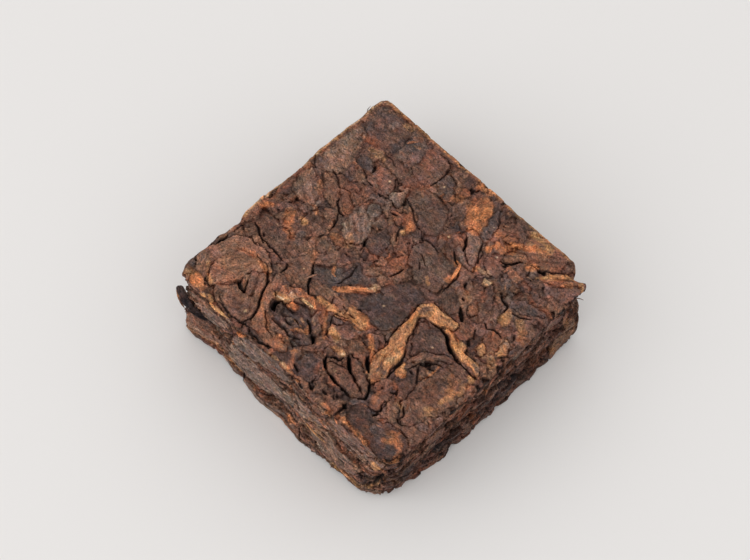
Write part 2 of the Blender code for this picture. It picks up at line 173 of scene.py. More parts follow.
def heldIn(x, y):
    # anything beyond the brick's reach is pressed back smoothly
    soft = 0.3
    held = []
    for values, low, high in zip((x, y), brick["low"], brick["high"]):
        over = np.maximum(values - high + soft, 0)
        under = np.maximum(low + soft - values, 0)
        values = values - over + soft * np.tanh(over / soft)
        held.append(values + under - soft * np.tanh(under / soft))
    return held


def edgeStandOut(x, y, z):
    side, along = sideAndPlace(x, y)
    out = 0.1 * softNoise(x + y * 0.3, y - x * 0.3, 1.7, 3) + 0.05 * softNoise(x + z, y, 0.6, 4)
    out = out + 0.08 * softNoise(x + y, z * 1.5, 2.1, 9) * smoothStep(4, 0, z)
    for name, bumps in edgeBumps.items():
        for place, halfLength, height, halfHeight, amount in bumps:
            near = np.exp(-(((along - place) / halfLength) ** 2) - ((z - height) / halfHeight) ** 2)
            out = out + amount * near * (side == name)
    return out


def baseLift(x, y):
    # how far the bottom edge is worn up from the table
    side, along = sideAndPlace(x, y)
    lift = 0.1 + 0.1 * softNoise(x + y, x - y, 1.3, 17)
    lift = lift + 0.45 * smoothStep(-10.4, -8.6, along) * smoothStep(-4.1, -4.5, along) * (side == "front")
    lift = lift + 0.5 * smoothStep(3.0, 6.0, along) * (side == "front")
    lift = lift + 0.3 * softNoise(x, y, 1.2, 18) * (side == "right")
    lift = lift + 0.7 * smoothStep(-7.4, -8.6, along) * (side == "right")
    return np.clip(lift, 0.02, 1.4)


# leaf fields: surfaces on which leaves are laid one over another


def newField(a, b, level, colour):
    # a and b are the flat coordinates of the surface, in mm
    return {
        "a": a, "b": b,
        "height": np.full(a.shape, float(level)),
        "colour": np.tile(linear(colour), a.shape + (1,)),
        "grain": np.stack([a, b, np.zeros_like(a)], -1),
        "count": 0,
    }


def nearLine(field, line, reach):
    # the part of the field within reach of a line, its distance from it, and how far along it is
    near = ((field["a"] > line[:, 0].min() - reach) & (field["a"] < line[:, 0].max() + reach)
            & (field["b"] > line[:, 1].min() - reach) & (field["b"] < line[:, 1].max() + reach))
    a, b = field["a"][near], field["b"][near]
    best = np.full(a.shape, 1e9)
    along = np.zeros(a.shape)
    across = np.zeros(a.shape)
    gone = 0.0
    for start, run in zip(line, np.diff(line, axis=0)):
        length = math.hypot(*run) + 1e-9
        share = np.clip(((a - start[0]) * run[0] + (b - start[1]) * run[1]) / length**2, 0, 1)
        offA = a - start[0] - share * run[0]
        offB = b - start[1] - share * run[1]
        away = np.hypot(offA, offB)
        closer = away < best
        side = np.sign(run[0] * offB - run[1] * offA)
        along = np.where(closer, gone + share * length, along)
        across = np.where(closer, side * away, across)
        best = np.where(closer, away, best)
        gone += length
    return near, along, across, best, gone


def stripShape(field, path, widths):
    # a leaf that follows a path
    line = alongCurve(path, np.linspace(0, 1, 8 * len(path)))
    near, along, across, away, length = nearLine(field, line, max(widths))
    part = along / length
    width = np.interp(part, np.linspace(0, 1, len(widths)), widths)
    half = width / 2 * (0.3 + 0.7 * np.sqrt(np.clip(1 - (2 * part - 1) ** 6, 0, 1)))
    return near, along, across, half - away


def outlineShape(field, outline, grain):
    # a leaf with this outline, its fibres turned by grain degrees
    closed = [outline[-1], *outline, outline[0], outline[1]]
    first, last = 1 / (len(closed) - 1), (len(closed) - 2) / (len(closed) - 1)
    line = alongCurve(closed, np.linspace(first, last, 5 * len(outline) + 1))
    near, _, _, away, _ = nearLine(field, line, 0.6)
    a, b = field["a"][near], field["b"][near]
    inside = np.zeros(a.shape, bool)
    for start, end in zip(line, line[1:]):
        crosses = (start[1] > b) != (end[1] > b)
        reach = (end[0] - start[0]) * (b - start[1]) / (end[1] - start[1] + 1e-12) + start[0]
        inside ^= crosses & (a < reach)
    middle = np.mean(outline, axis=0)
    turn = math.radians(grain)
    offA, offB = a - middle[0], b - middle[1]
    along = offA * math.cos(turn) + offB * math.sin(turn)
    across = offB * math.cos(turn) - offA * math.sin(turn)
    return near, along, across, np.where(inside, away, -away)


def scrapShape(field, centre, size, turn, rng):
    # a torn scrap with straight edges
    length, width = size
    reach = max(size) * 0.7 + 0.3
    near = (np.abs(field["a"] - centre[0]) < reach) & (np.abs(field["b"] - centre[1]) < reach)
    offA, offB = field["a"][near] - centre[0], field["b"][near] - centre[1]
    turn = math.radians(turn)
    along = offA * math.cos(turn) + offB * math.sin(turn)
    across = offB * math.cos(turn) - offA * math.sin(turn)
    corners = rng.integers(4, 8)
    inside = np.full(along.shape, 1e9)
    for k in range(corners):
        angle = 2 * math.pi * (k + rng.uniform(-0.3, 0.3)) / corners
        edge = rng.uniform(0.7, 1.05)
        reached = along / (length / 2) * math.cos(angle) + across / (width / 2) * math.sin(angle)
        inside = np.minimum(inside, (edge - reached) * width / 2)
    return near, along, across, inside

# what a leaf has when its own row doesn't say, in mm and shares
usualLeaf = {
    "level": 8.93,
    "ragged": 0.18,             # how far its edge strays
    "arch": 0.03,               # how much higher its middle is
    "lip": 0.05,                # how much its edge rises or dips
    "fibre": 0.03,              # height of its fibres
    "crack": 0.14,              # depth of the crack at its edge
    "crackLength": 1.6,
    "mix": 0.6,                 # how much of it has the second colour
    "cover": 0.9,               # how much it hides what is painted below
}
edgeCrack = 0.11                # width of the crack at a leaf's edge


def leafOf(colour, second, *numbers, **look):
    # a leaf: its colours, and its outline, or its middle line if it has widths
    return {"colour": colour, "second": second, "points": pairs(numbers), **look}


def layLeaf(field, shape, leaf, rng):
    # lays one leaf on the field: its surface, its colours, and a crack along part of its edge
    near, along, across, inside = shape
    if inside.size == 0:
        return
    look = {**usualLeaf, **leaf}
    seed = int(rng.integers(1, 9999))

    def bumps(size, number, stretch=1):
        return softNoise(along * stretch, across, size, seed + number)

    field["count"] += 1
    inside = inside + look["ragged"] * bumps(0.7, 0)
    inside = inside + look["ragged"] * 0.6 * bumps(0.25, 1)
    on = inside > 0
    slope = rng.uniform(-0.04, 0.04, 2)
    depth = np.clip(inside / max(inside.max(), 0.1), 0, 1)
    surface = look["level"] + slope[0] * along + slope[1] * across
    surface = surface + look["arch"] * (np.sqrt(1 - (1 - depth) ** 2) - 0.6)
    surface = surface + look["lip"] * np.exp(-np.maximum(inside, 0) / 0.15) * bumps(1.2, 7)
    surface = surface + 0.06 * bumps(1.1, 2)
    surface = surface + look["fibre"] * bumps(0.24, 3, 0.2)
    surface = surface + 0.02 * bumps(0.4, 8)
    heights = field["height"][near]
    gape = np.clip(bumps(look["crackLength"], 9) * 2, 0, 1)
    trench = look["crack"] * gape * np.clip(1 + inside / edgeCrack, 0, 1)
    field["height"][near] = np.where(on, surface, heights - np.where(inside > -edgeCrack, trench, 0))
    patch = np.clip(0.5 + 0.6 * bumps(0.9, 4) + 0.4 * bumps(0.3, 5), 0, 1)[..., None] * look["mix"]
    streak = 1 + 0.18 * bumps(0.3, 6, 0.25)[..., None]
    paint = linear(look["colour"]) * (1 - patch) + linear(look["second"]) * patch
    paint = paint * streak * look.get("shade", rng.uniform(0.88, 1.12))
    cover = look["cover"] * np.clip(inside / 0.15 + 0.3, 0, 1) * on
    cover = (cover * (0.85 + 0.15 * bumps(0.4, 11)))[..., None]
    field["colour"][near] = field["colour"][near] * (1 - cover) + paint * cover
    grain = field["grain"][near]
    grain[on] = np.stack([along, across, np.full_like(along, field["count"] * 0.37)], -1)[on]
    field["grain"][near] = grain


# how cracks are cut, and the painted shade laid in them; dark is the painted shade of a flat one
crackLook = {
    "slimness": 2.8,            # its width to its half width at the widest place
    "sink": 0.5,                # how much of its depth the surface goes down
    "dark": 0.3,                # how dark a flat one is
    "paintedShadeByDepth": 0.75,
    "deepestPaintedShade": 0.92,
}


def cutCrack(field, path, width, depth, seed):
    # a gap between leaves, sunk into the surface and darkened with painted shade
    line = alongCurve(path, np.linspace(0, 1, 8 * len(path)))
    near, along, across, away, length = nearLine(field, line, width + 0.2)
    away = np.abs(across + 0.1 * softNoise(along, along * 0, 0.5, seed)) + (away - np.abs(across))
    half = width / crackLook["slimness"] * (0.35 + 0.65 * np.sin(math.pi * np.clip(along / length, 0, 1)))
    half = half * (1 + 0.4 * softNoise(along, across, 0.35, seed + 1)) + 0.03
    cut = np.clip(1.15 - (away / half) ** 2, 0, 1)
    field["height"][near] -= crackLook["sink"] * depth * cut
    dark = min(crackLook["deepestPaintedShade"], crackLook["dark"] + crackLook["paintedShadeByDepth"] * depth)
    dark = (dark * np.clip(1.6 * (1.2 - away / half), 0, 1))[..., None]
    field["colour"][near] = field["colour"][near] * (1 - dark) + linear("soot") * 0.35 * dark


def paintTone(field, path, width, colour, strength, seed):
    # a soft-edged streak or spot of another colour, with no edge of its own
    points = np.array(path, float)
    line = alongCurve(points, np.linspace(0, 1, 6 * len(points))) if len(points) > 1 else points.repeat(2, 0)
    near, _, _, away, _ = nearLine(field, line, width)
    a, b = field["a"][near], field["b"][near]
    away = away + 0.25 * width * softNoise(a, b, 0.45, seed) + 0.12 * width * softNoise(a, b, 0.18, seed + 1)
    share = strength * smoothStep(0.62 * width, 0.3 * width, away)
    share = (share * (0.75 + 0.25 * softNoise(a, b, 0.22, seed + 2)))[..., None]
    field["colour"][near] = field["colour"][near] * (1 - share) + linear(colour) * share


def markField(field, tones, toneSeed, cracks, crackSeed):
    # tones are colour, strength, width and points; cracks are width, depth and points
    for k, (colour, strength, width, *path) in enumerate(tones):
        paintTone(field, pairs(path), width, colour, strength, toneSeed + k)
    for k, (width, depth, *path) in enumerate(cracks):
        cutCrack(field, pairs(path), width, depth, crackSeed + k)


def scatterScraps(field, rng, scraps):
    # torn scraps on a loose grid over the whole field
    reach = scraps.get("reach", (field["a"].min(), field["a"].max()))
    spots = [(a, b) for a in np.arange(*reach, scraps["spacing"][0])
             for b in np.arange(field["b"].min(), field["b"].max(), scraps["spacing"][1])]
    names, weights = zip(*scraps["colours"].items())
    weights = np.array(weights) / sum(weights)
    for k in rng.permutation(len(spots)):
        centre = np.array(spots[k]) + rng.uniform(-0.5, 0.5, 2) * scraps["spacing"]
        length = rng.uniform(*scraps["length"])
        width = length * rng.uniform(*scraps["slimness"])
        turn = rng.normal(0, scraps["spread"])
        colour, second = rng.choice(names, 2, p=weights)
        calm = 1.0
        if "calmCorner" in scraps:
            calm = smoothStep(3, 10, math.dist(centre, scraps["calmCorner"])) * 0.8 + 0.2
        leaf = {"level": scraps["level"] + rng.normal() * scraps["unevenness"] * calm,
                "colour": colour, "second": second, "crack": rng.uniform(0, scraps["crack"]) * calm}
        layLeaf(field, scrapShape(field, centre, (length, width), turn, rng), leaf, rng)


def blurred(values, radius):
    for axis in (0, 1):
        total = np.zeros_like(values)
        for k in range(-radius, radius + 1):
            total += np.roll(values, k, axis)
        values = total / (2 * radius + 1)
    return values


def exposure(heights, radius, depth):
    # 0 deep in a gap, 0.5 level, 1 on a raised edge; the material paints shade into gaps and light onto
    # raised edges by it
    return np.clip(0.5 + (heights - blurred(heights, radius)) / (2 * depth), 0, 1)


# from fields to meshes


def newMesh():
    # an empty mesh whose points carry what the materials read
    bm = bmesh.new()
    bm.verts.layers.float_color.new("leafColour")
    bm.verts.layers.float_vector.new("grain")
    return bm


def dressVertices(bm, verts, points, colours, grains, opens):
    # puts the vertices in their places, in mm, and paints them
    colourLayer = bm.verts.layers.float_color["leafColour"]
    grainLayer = bm.verts.layers.float_vector["grain"]
    rows = zip(verts, (points * mm).tolist(), colours.tolist(), grains.tolist(), opens.tolist())
    for vertex, point, colour, grain, openness in rows:
        vertex.co = point
        vertex[colourLayer] = (*colour, openness)
        vertex[grainLayer] = grain


def cellOf(place, cells):
    # which cell of a square's side a place falls in
    return np.rint((place / halfSide + 1) / 2 * cells).astype(int)


def newSquare(cells):
    # a flat square mesh, which cell each of its points is, and the places of all cells
    bm = newMesh()
    bmesh.ops.create_grid(bm, x_segments=cells, y_segments=cells, size=halfSide)
    flat = np.array([vertex.co[:2] for vertex in bm.verts])
    line = np.linspace(-halfSide, halfSide, cells + 1)
    cell = cellOf(flat[:, 0], cells), cellOf(flat[:, 1], cells)
    return bm, cell, *np.meshgrid(line, line, indexing="ij")


def wornSquare(plainX, plainY, level, edgeLevel, extra):
    # a square with the brick's worn edge, and how near its rim each place is
    x, y, outX, outY = roundedSquare(plainX, plainY, np.full(plainX.shape, level))
    reach = np.maximum(np.abs(plainX), np.abs(plainY))
    rim = smoothStep(halfSide - 1.8, halfSide, reach)
    out = edgeStandOut(plainX, plainY, edgeLevel) + extra
    return *heldIn(x + outX * out * rim, y + outY * out * rim), reach


def closeWithFan(bm, edges, level):
    # closes a ring of edges with one point on the middle line, at this level
    grown = bmesh.ops.extrude_edge_only(bm, edges=edges)
    verts = [item for item in grown["geom"] if isinstance(item, bmesh.types.BMVert)]
    bmesh.ops.pointmerge(bm, verts=verts, merge_co=Vector((0, 0, level)) * mm)


def finishPiece(bm, name, material):
    bmesh.ops.recalc_face_normals(bm, faces=bm.faces[:])
    piece = addObject(name, bpy.data.meshes.new(name))
    bm.to_mesh(piece.data)
    bm.free()
    piece.data.shade_smooth()
    piece.data.materials.append(material)
    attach(piece, "root")
    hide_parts("tea_brick")
    print(name, "triangles:", sum(len(face.vertices) - 2 for face in piece.data.polygons))


def addObject(name, data):
    made = bpy.data.objects.new(name, data)
    bpy.context.scene.collection.objects.link(made)
    return made


# materials


def addNode(nodes, kind, **values):
    node = nodes.new("ShaderNode" + kind)
    for name, value in values.items():
        setattr(node, name, value)
    return node


def teaSurfaceGroup():
    # grain, mottling and pale specks of dry pressed leaf, with painted glints, painted shade in its gaps and
    # painted light on its raised edges
    group = bpy.data.node_groups.new("teaSurface", "ShaderNodeTree")
    face = group.interface
    for name, kind, value in [("Leaf Colour", "NodeSocketColor", (0.1, 0.06, 0.05, 1)),
                              ("Openness", "NodeSocketFloat", 0.5), ("Grain", "NodeSocketVector", (0, 0, 0)),
                              ("Fibre", "NodeSocketFloat", 0.3), ("Mottle", "NodeSocketFloat", 0.5),
                              ("Grit", "NodeSocketFloat", 0.6), ("SpecksAndGlints", "NodeSocketFloat", 0.3)]:
        socket = face.new_socket(name, in_out="INPUT", socket_type=kind)
        socket.default_value = value
    for name, kind in [("Colour", "NodeSocketColor"), ("Roughness", "NodeSocketFloat"),
                       ("Height", "NodeSocketFloat")]:
        face.new_socket(name, in_out="OUTPUT", socket_type=kind)
    nodes, links = group.nodes, group.links
    leafColour, openness, grain, fibreShare, mottle, grit, specksAndGlints = nodes.new("NodeGroupInput").outputs[:7]
    result = nodes.new("NodeGroupOutput")
    place = nodes.new("ShaderNodeTexCoord").outputs["Object"]

    def noise(vector, scale, detail, roughness=0.6):
        node = addNode(nodes, "TexNoise")
        node.inputs["Scale"].default_value = scale
        node.inputs["Detail"].default_value = detail
        node.inputs["Roughness"].default_value = roughness
        links.new(vector, node.inputs["Vector"])
        return node.outputs["Fac"]

    def calculate(operation, *values):
        node = addNode(nodes, "Math", operation=operation)
        for socket, value in zip(node.inputs, values):
            if isinstance(value, (int, float)):
                socket.default_value = value
            else:
                links.new(value, socket)
        return node.outputs[0]

    def spread(value, low, high, toLow=0.0, toHigh=1.0):
        node = addNode(nodes, "MapRange", clamp=True)
        for name, number in zip(("From Min", "From Max", "To Min", "To Max"), (low, high, toLow, toHigh)):
            node.inputs[name].default_value = number
        links.new(value, node.inputs["Value"])
        return node.outputs["Result"]

    def mixed(share, colour, other, blend="MIX"):
        node = addNode(nodes, "Mix", data_type="RGBA", blend_type=blend)
        for socket, value in zip((node.inputs["Factor"], node.inputs["A"], node.inputs["B"]),
                                 (share, colour, other)):
            if isinstance(value, (int, float, tuple)):
                socket.default_value = value
            else:
                links.new(value, socket)
        return node.outputs["Result"]

    # the grain, bent a little so that its streaks wander
    sway = addNode(nodes, "TexNoise")
    sway.inputs["Scale"].default_value = 800
    sway.inputs["Detail"].default_value = 2.0
    links.new(place, sway.inputs["Vector"])
    offset = addNode(nodes, "VectorMath", operation="MULTIPLY_ADD")
    offset.inputs[1].default_value = (1.3, 1.3, 0.0)
    links.new(sway.outputs["Color"], offset.inputs[0])
    links.new(grain, offset.inputs[2])

    def streaks(scale, detail, roughness=0.6):
        stretch = addNode(nodes, "Mapping")
        stretch.inputs["Scale"].default_value = scale
        links.new(offset.outputs["Vector"], stretch.inputs["Vector"])
        return noise(stretch.outputs["Vector"], 1.0, detail, roughness)

    def swing(value, amount):
        # 1 on average, more or less by this amount
        around = calculate("SUBTRACT", spread(value, 0.32, 0.68), 0.5)
        return calculate("ADD", calculate("MULTIPLY", around, amount), 1.0)

    fibre = streaks((1.0, 5.0, 10.0), 3.0)
    thread = streaks((2.2, 9.5, 10.0), 2.0, 0.7)
    fold = streaks((0.9, 2.3, 7.0), 3.0, 0.55)
    patch = noise(place, 1300, 4.0, 0.65)
    hue = noise(place, 2100, 3.0, 0.55)
    tone = noise(place, 850, 3.0, 0.6)
    fine = noise(place, 8600, 2.0, 0.7)
    fleck = noise(place, 3900, 2.0, 0.6)
    pore = noise(place, 5200, 1.0, 0.5)

    # the leaf's own colour, warmer or cooler here and there, then painted shade in gaps and painted light on
    # raised edges, by how deep or high the place is
    tinted = leafColour
    for value, share, low, high, cool, warm in (
            (hue, mottle, 0.38, 0.64, (0.89, 0.95, 1.03, 1), (1.13, 0.99, 0.87, 1)),
            (tone, mottle, 0.4, 0.62, (1.05, 0.94, 0.98, 1), (0.95, 1.04, 0.98, 1)),
            (thread, fibreShare, 0.4, 0.66, (0.94, 0.98, 1.02, 1), (1.09, 1.0, 0.91, 1)),
            (fleck, mottle, 0.38, 0.64, (0.9, 0.97, 1.05, 1), (1.13, 1.0, 0.87, 1))):
        tint = mixed(spread(value, low, high), cool, warm)
        tinted = mixed(share, tinted, tint, "MULTIPLY")
    # painted sheen: a faint even lift, a little bluer, in place of the specular kept low
    tinted = mixed(1.0, tinted, (0.006, 0.007, 0.0105, 1), "ADD")
    # painted shade: warm and dark where openness is low; painted light: lighter and warmer on raised edges
    for low, high, paintedShadeTint, paintedEdgeLightTint in ((0.05, 0.45, (1.0, 0.56, 0.36, 1), (1, 1, 1, 1)),
                                    (0.6, 0.95, (1, 1, 1, 1), (1.14, 1.05, 0.95, 1))):
        tint = mixed(spread(openness, low, high), paintedShadeTint, paintedEdgeLightTint)
        tinted = mixed(1.0, tinted, tint, "MULTIPLY")

    wrinkle = calculate("ABSOLUTE", calculate("SUBTRACT", fold, 0.5))
    wrinkle = calculate("MULTIPLY", spread(wrinkle, 0.0, 0.022, 1.0, 0.0), spread(tone, 0.42, 0.52))
    # painted glints: sparse small spots made up to half again brighter
    paintedGlints = spread(noise(place, 6400, 1.0), 0.6, 0.7, 1.0, 1.5)
    threadShare = calculate("MULTIPLY", grit, 0.62)
    shade = calculate("MULTIPLY", swing(patch, mottle), swing(fibre, fibreShare))
    # the openness factor darkens the gaps with painted shade
    for factor in (swing(thread, threadShare), swing(fine, grit), spread(pore, 0.3, 0.4, 0.5, 1.0),
                   spread(openness, 0.06, 0.56, 0.2, 1.11), paintedGlints,
                   calculate("SUBTRACT", 1.0, calculate("MULTIPLY", wrinkle, 0.3))):
        shade = calculate("MULTIPLY", shade, factor)
    shaded = mixed(1.0, tinted, shade, "MULTIPLY")
    # pale specks: partly pale hairs and dust, partly painted glints
    speckAndGlintMask = calculate("MULTIPLY", spread(noise(place, 4200, 1.0), 0.71, 0.76), specksAndGlints)
    links.new(mixed(speckAndGlintMask, shaded, (0.42, 0.35, 0.28, 1)), result.inputs["Colour"])

    rough = calculate("ADD", calculate("MULTIPLY", calculate("SUBTRACT", hue, 0.5), 0.7), 0.6)
    links.new(rough, result.inputs["Roughness"])
    bump = calculate("MULTIPLY", fibre, fibreShare)
    for value, share in ((thread, 0.6), (fine, 0.25), (hue, 0.6), (pore, 0.3), (wrinkle, -0.25)):
        bump = calculate("ADD", bump, calculate("MULTIPLY", value, share))
    links.new(bump, result.inputs["Height"])
    return group


def teaMaterial(name, look):
    material = bpy.data.materials.new(name)
    material.use_nodes = True
    nodes, links = material.node_tree.nodes, material.node_tree.links
    shader = nodes["Principled BSDF"]
    surface = addNode(nodes, "Group", node_tree=teaSurface)
    colour = addNode(nodes, "Attribute", attribute_name="leafColour")
    grain = addNode(nodes, "Attribute", attribute_name="grain")
    bump = addNode(nodes, "Bump")
    bump.inputs["Strength"].default_value = look["bump"]
    bump.inputs["Distance"].default_value = 0.12 * mm
    for name, value in look["surface"].items():
        surface.inputs[name].default_value = value
    shader.inputs["Specular IOR Level"].default_value = look["specular"]
    for source, output, target, given in (
            (colour, "Color", surface, "Leaf Colour"), (colour, "Alpha", surface, "Openness"),
            (grain, "Vector", surface, "Grain"), (surface, "Colour", shader, "Base Color"),
            (surface, "Roughness", shader, "Roughness"), (surface, "Height", bump, "Height"),
            (bump, "Normal", shader, "Normal")):
        links.new(source.outputs[output], target.inputs[given])
    return material


teaSurface = teaSurfaceGroup()
pressedLeaf = teaMaterial("pressedLeaf", {
    "bump": 0.9, "specular": 0.16,
    "surface": {"Fibre": 0.5, "Mottle": 0.7, "Grit": 0.95, "SpecksAndGlints": 0.2},
})
stackedEdges = teaMaterial("stackedEdges", {
    "bump": 1.0, "specular": 0.1,
    "surface": {"Fibre": 0.8, "Mottle": 0.7, "Grit": 1.4, "SpecksAndGlints": 0.15},
})
print("materials done")

# the four sides: leaf layers seen edge on
sides = {
    "cellsRound": 920,
    "cellsUp": 94,
    "rows": 100,                # of the field, from the base to the top
    "high": 8.75,
    "fanLevels": {True: 2.0, False: 4.5},   # of the low and high closing fans, below the top's gaps
    "scraps": {
        "spacing": (1.5, 0.3), "length": (1.8, 6.5), "slimness": (0.05, 0.16), "spread": 7,
        "level": 0.0, "unevenness": 0.1, "crack": 0.5,
        "colours": {"umber": 5, "ash": 2, "mauve": 3, "brown": 4, "dark": 2, "rust": 1, "slate": 1},
    },
    "clumps": {                 # the right side is torn rather than layered
        "reach": (23.4, 45.6),
        "spacing": (0.8, 0.55), "length": (0.9, 2.6), "slimness": (0.25, 0.7), "spread": 28,
        "level": 0.0, "unevenness": 0.13, "crack": 0.3,
        "colours": {"umber": 5, "ash": 1, "mauve": 3, "brown": 3, "dark": 4, "rust": 2, "slate": 1},
    },
    "slabs": {                  # wider layers on the back and left sides
        "reach": (46.6, 91.0),
        "spacing": (2.9, 1.3), "length": (2.0, 5.5), "slimness": (0.22, 0.5), "spread": 8,
        "level": 0.04, "unevenness": 0.08, "crack": 0.5,
        "colours": {"umber": 4, "ash": 3, "mauve": 3, "brown": 3, "slate": 2},
    },
    "slits": {                  # short cracks anywhere
        "number": 150, "z": (0.6, 8.6), "length": (0.4, 1.4), "rise": (-0.15, 0.15),
        "width": (0.12, 0.3), "depth": (0.2, 0.5),
    },
    "dusk": {                   # the right side is turned from the window
        "start": (22.6, 23.6), "end": (46.6, 45.6), "most": 0.39, "lessAbove": 0.3, "above": (4.0, 8.0),
        "tint": (-0.02, 0.03, 0.07), "grain": 2.5,
    },
}

# places on the sides: the distance round the brick from the front left corner, then the height
sideLeaves = {
    "sheenLeft": leafOf("ash", "mauve", 1.7, 6, 2.9, 7, 5.1, 7.4, 5.6, 6.6, 4.5, 5.6, 2.9, 5.2),
    "sheenLow": leafOf("ash", "slate", 5.7, 4.7, 6.4, 4.9, 7.2, 4.8, 8.2, 4.9, 9.2, 4.8, 10.1, 4.7, 11, 4.7,
        12, 4.6, 12.8, 4.1, 12.3, 3, 11.3, 2.6, 10.2, 2.1, 9.2, 2, 8.2, 1.9, 7.2, 1.6, 6.2, 1.9, 5.7, 2.3,
        level=0.02, shade=1.14, fibre=0.05, crack=0.3),
    "sheenLong": leafOf("ash", "slate", 5.9, 6.7, 7, 7.7, 8.1, 8.4, 9.2, 8.7, 10.3, 8.8, 11.1, 8.7, 12, 8.4,
        12.5, 8, 11.9, 6.7, 11, 6.4, 10.3, 6.3, 9.4, 6.2, 8.4, 5.7, 7.4, 5.6, 6.4, 5.7, level=0.1,
        shade=0.98, fibre=0.05, crack=0.3, mix=0.8),
    "sheenEnd": leafOf("ash", "mauve", 12.7, 5.9, 13.6, 6.2, 14.6, 6.1, 15.6, 6, 16.7, 6.1, 16.2, 4.8,
        15, 4.1, 13.8, 3.8, 12.9, 4.1, level=0.06, shade=1.06, crack=0.3),
    "sheenEdge": leafOf("ash", "mauve", 15.9, 7.7, 17.8, 7.7, 20, 7.9, 21.6, 8.2, 22.5, 8.1, 21.2, 6.3,
        19, 6.1, 17, 6.1, level=0.08, shade=1.02, crack=0.3),
    "sheenFoot": leafOf("ash", "brown", 7.3, 0.8, 8.2, 1.1, 9.1, 0.8, 10.3, 0.7, 11.5, 0.8, 12.4, 0.9,
        12.3, -0.5, 11.2, -0.6, 10.1, -0.7, 8.9, -0.8, 7.9, -0.5, level=0.06, fibre=0.05, shade=0.92,
        mix=0.8),
    "sheenTail": leafOf("ash", "brown", 15.3, 4.5, 17, 4.3, 18.9, 4.1, 20.4, 3.6, 19.4, 2.1, 17.8, 1.6,
        16.1, 1.7, 14.9, 2.3, level=0.05, fibre=0.05, shade=0.95, mix=0.8),
    "sheenRight": leafOf("mauve", "ash", 16.3, 7, 17.1, 8.5, 18.9, 8.9, 21.1, 8.8, 21.1, 7.4, 18.9, 6.8,
        shade=0.93),
    "paleSlab": leafOf("gold", "brown", 20.9, 5.6, 21.1, 7, 21.7, 7.6, 22.2, 6.8, 21.8, 5.4, level=0.04,
        shade=1.08),
    "pinkFibre": leafOf("mauve", "gold", 14.3, 3.9, 15.5, 3.9, 16.7, 3.6, 16.1, 3.3, 14.9, 3.3, level=0.12,
        shade=1.15),
    "lowSlab": leafOf("brown", "rust", 0.7, 1.6, 1.1, 3.6, 3.1, 4, 4.5, 3.2, 4.1, 1.8, 2.5, 1.2,
        shade=0.78),
    "endSlab": leafOf("brown", "gold", 42.1, 0.8, 42.3, 3, 43.3, 4.6, 44.3, 5, 45.1, 3.4, 44.9, 1.2,
        43.5, 0.4, shade=0.8),
}

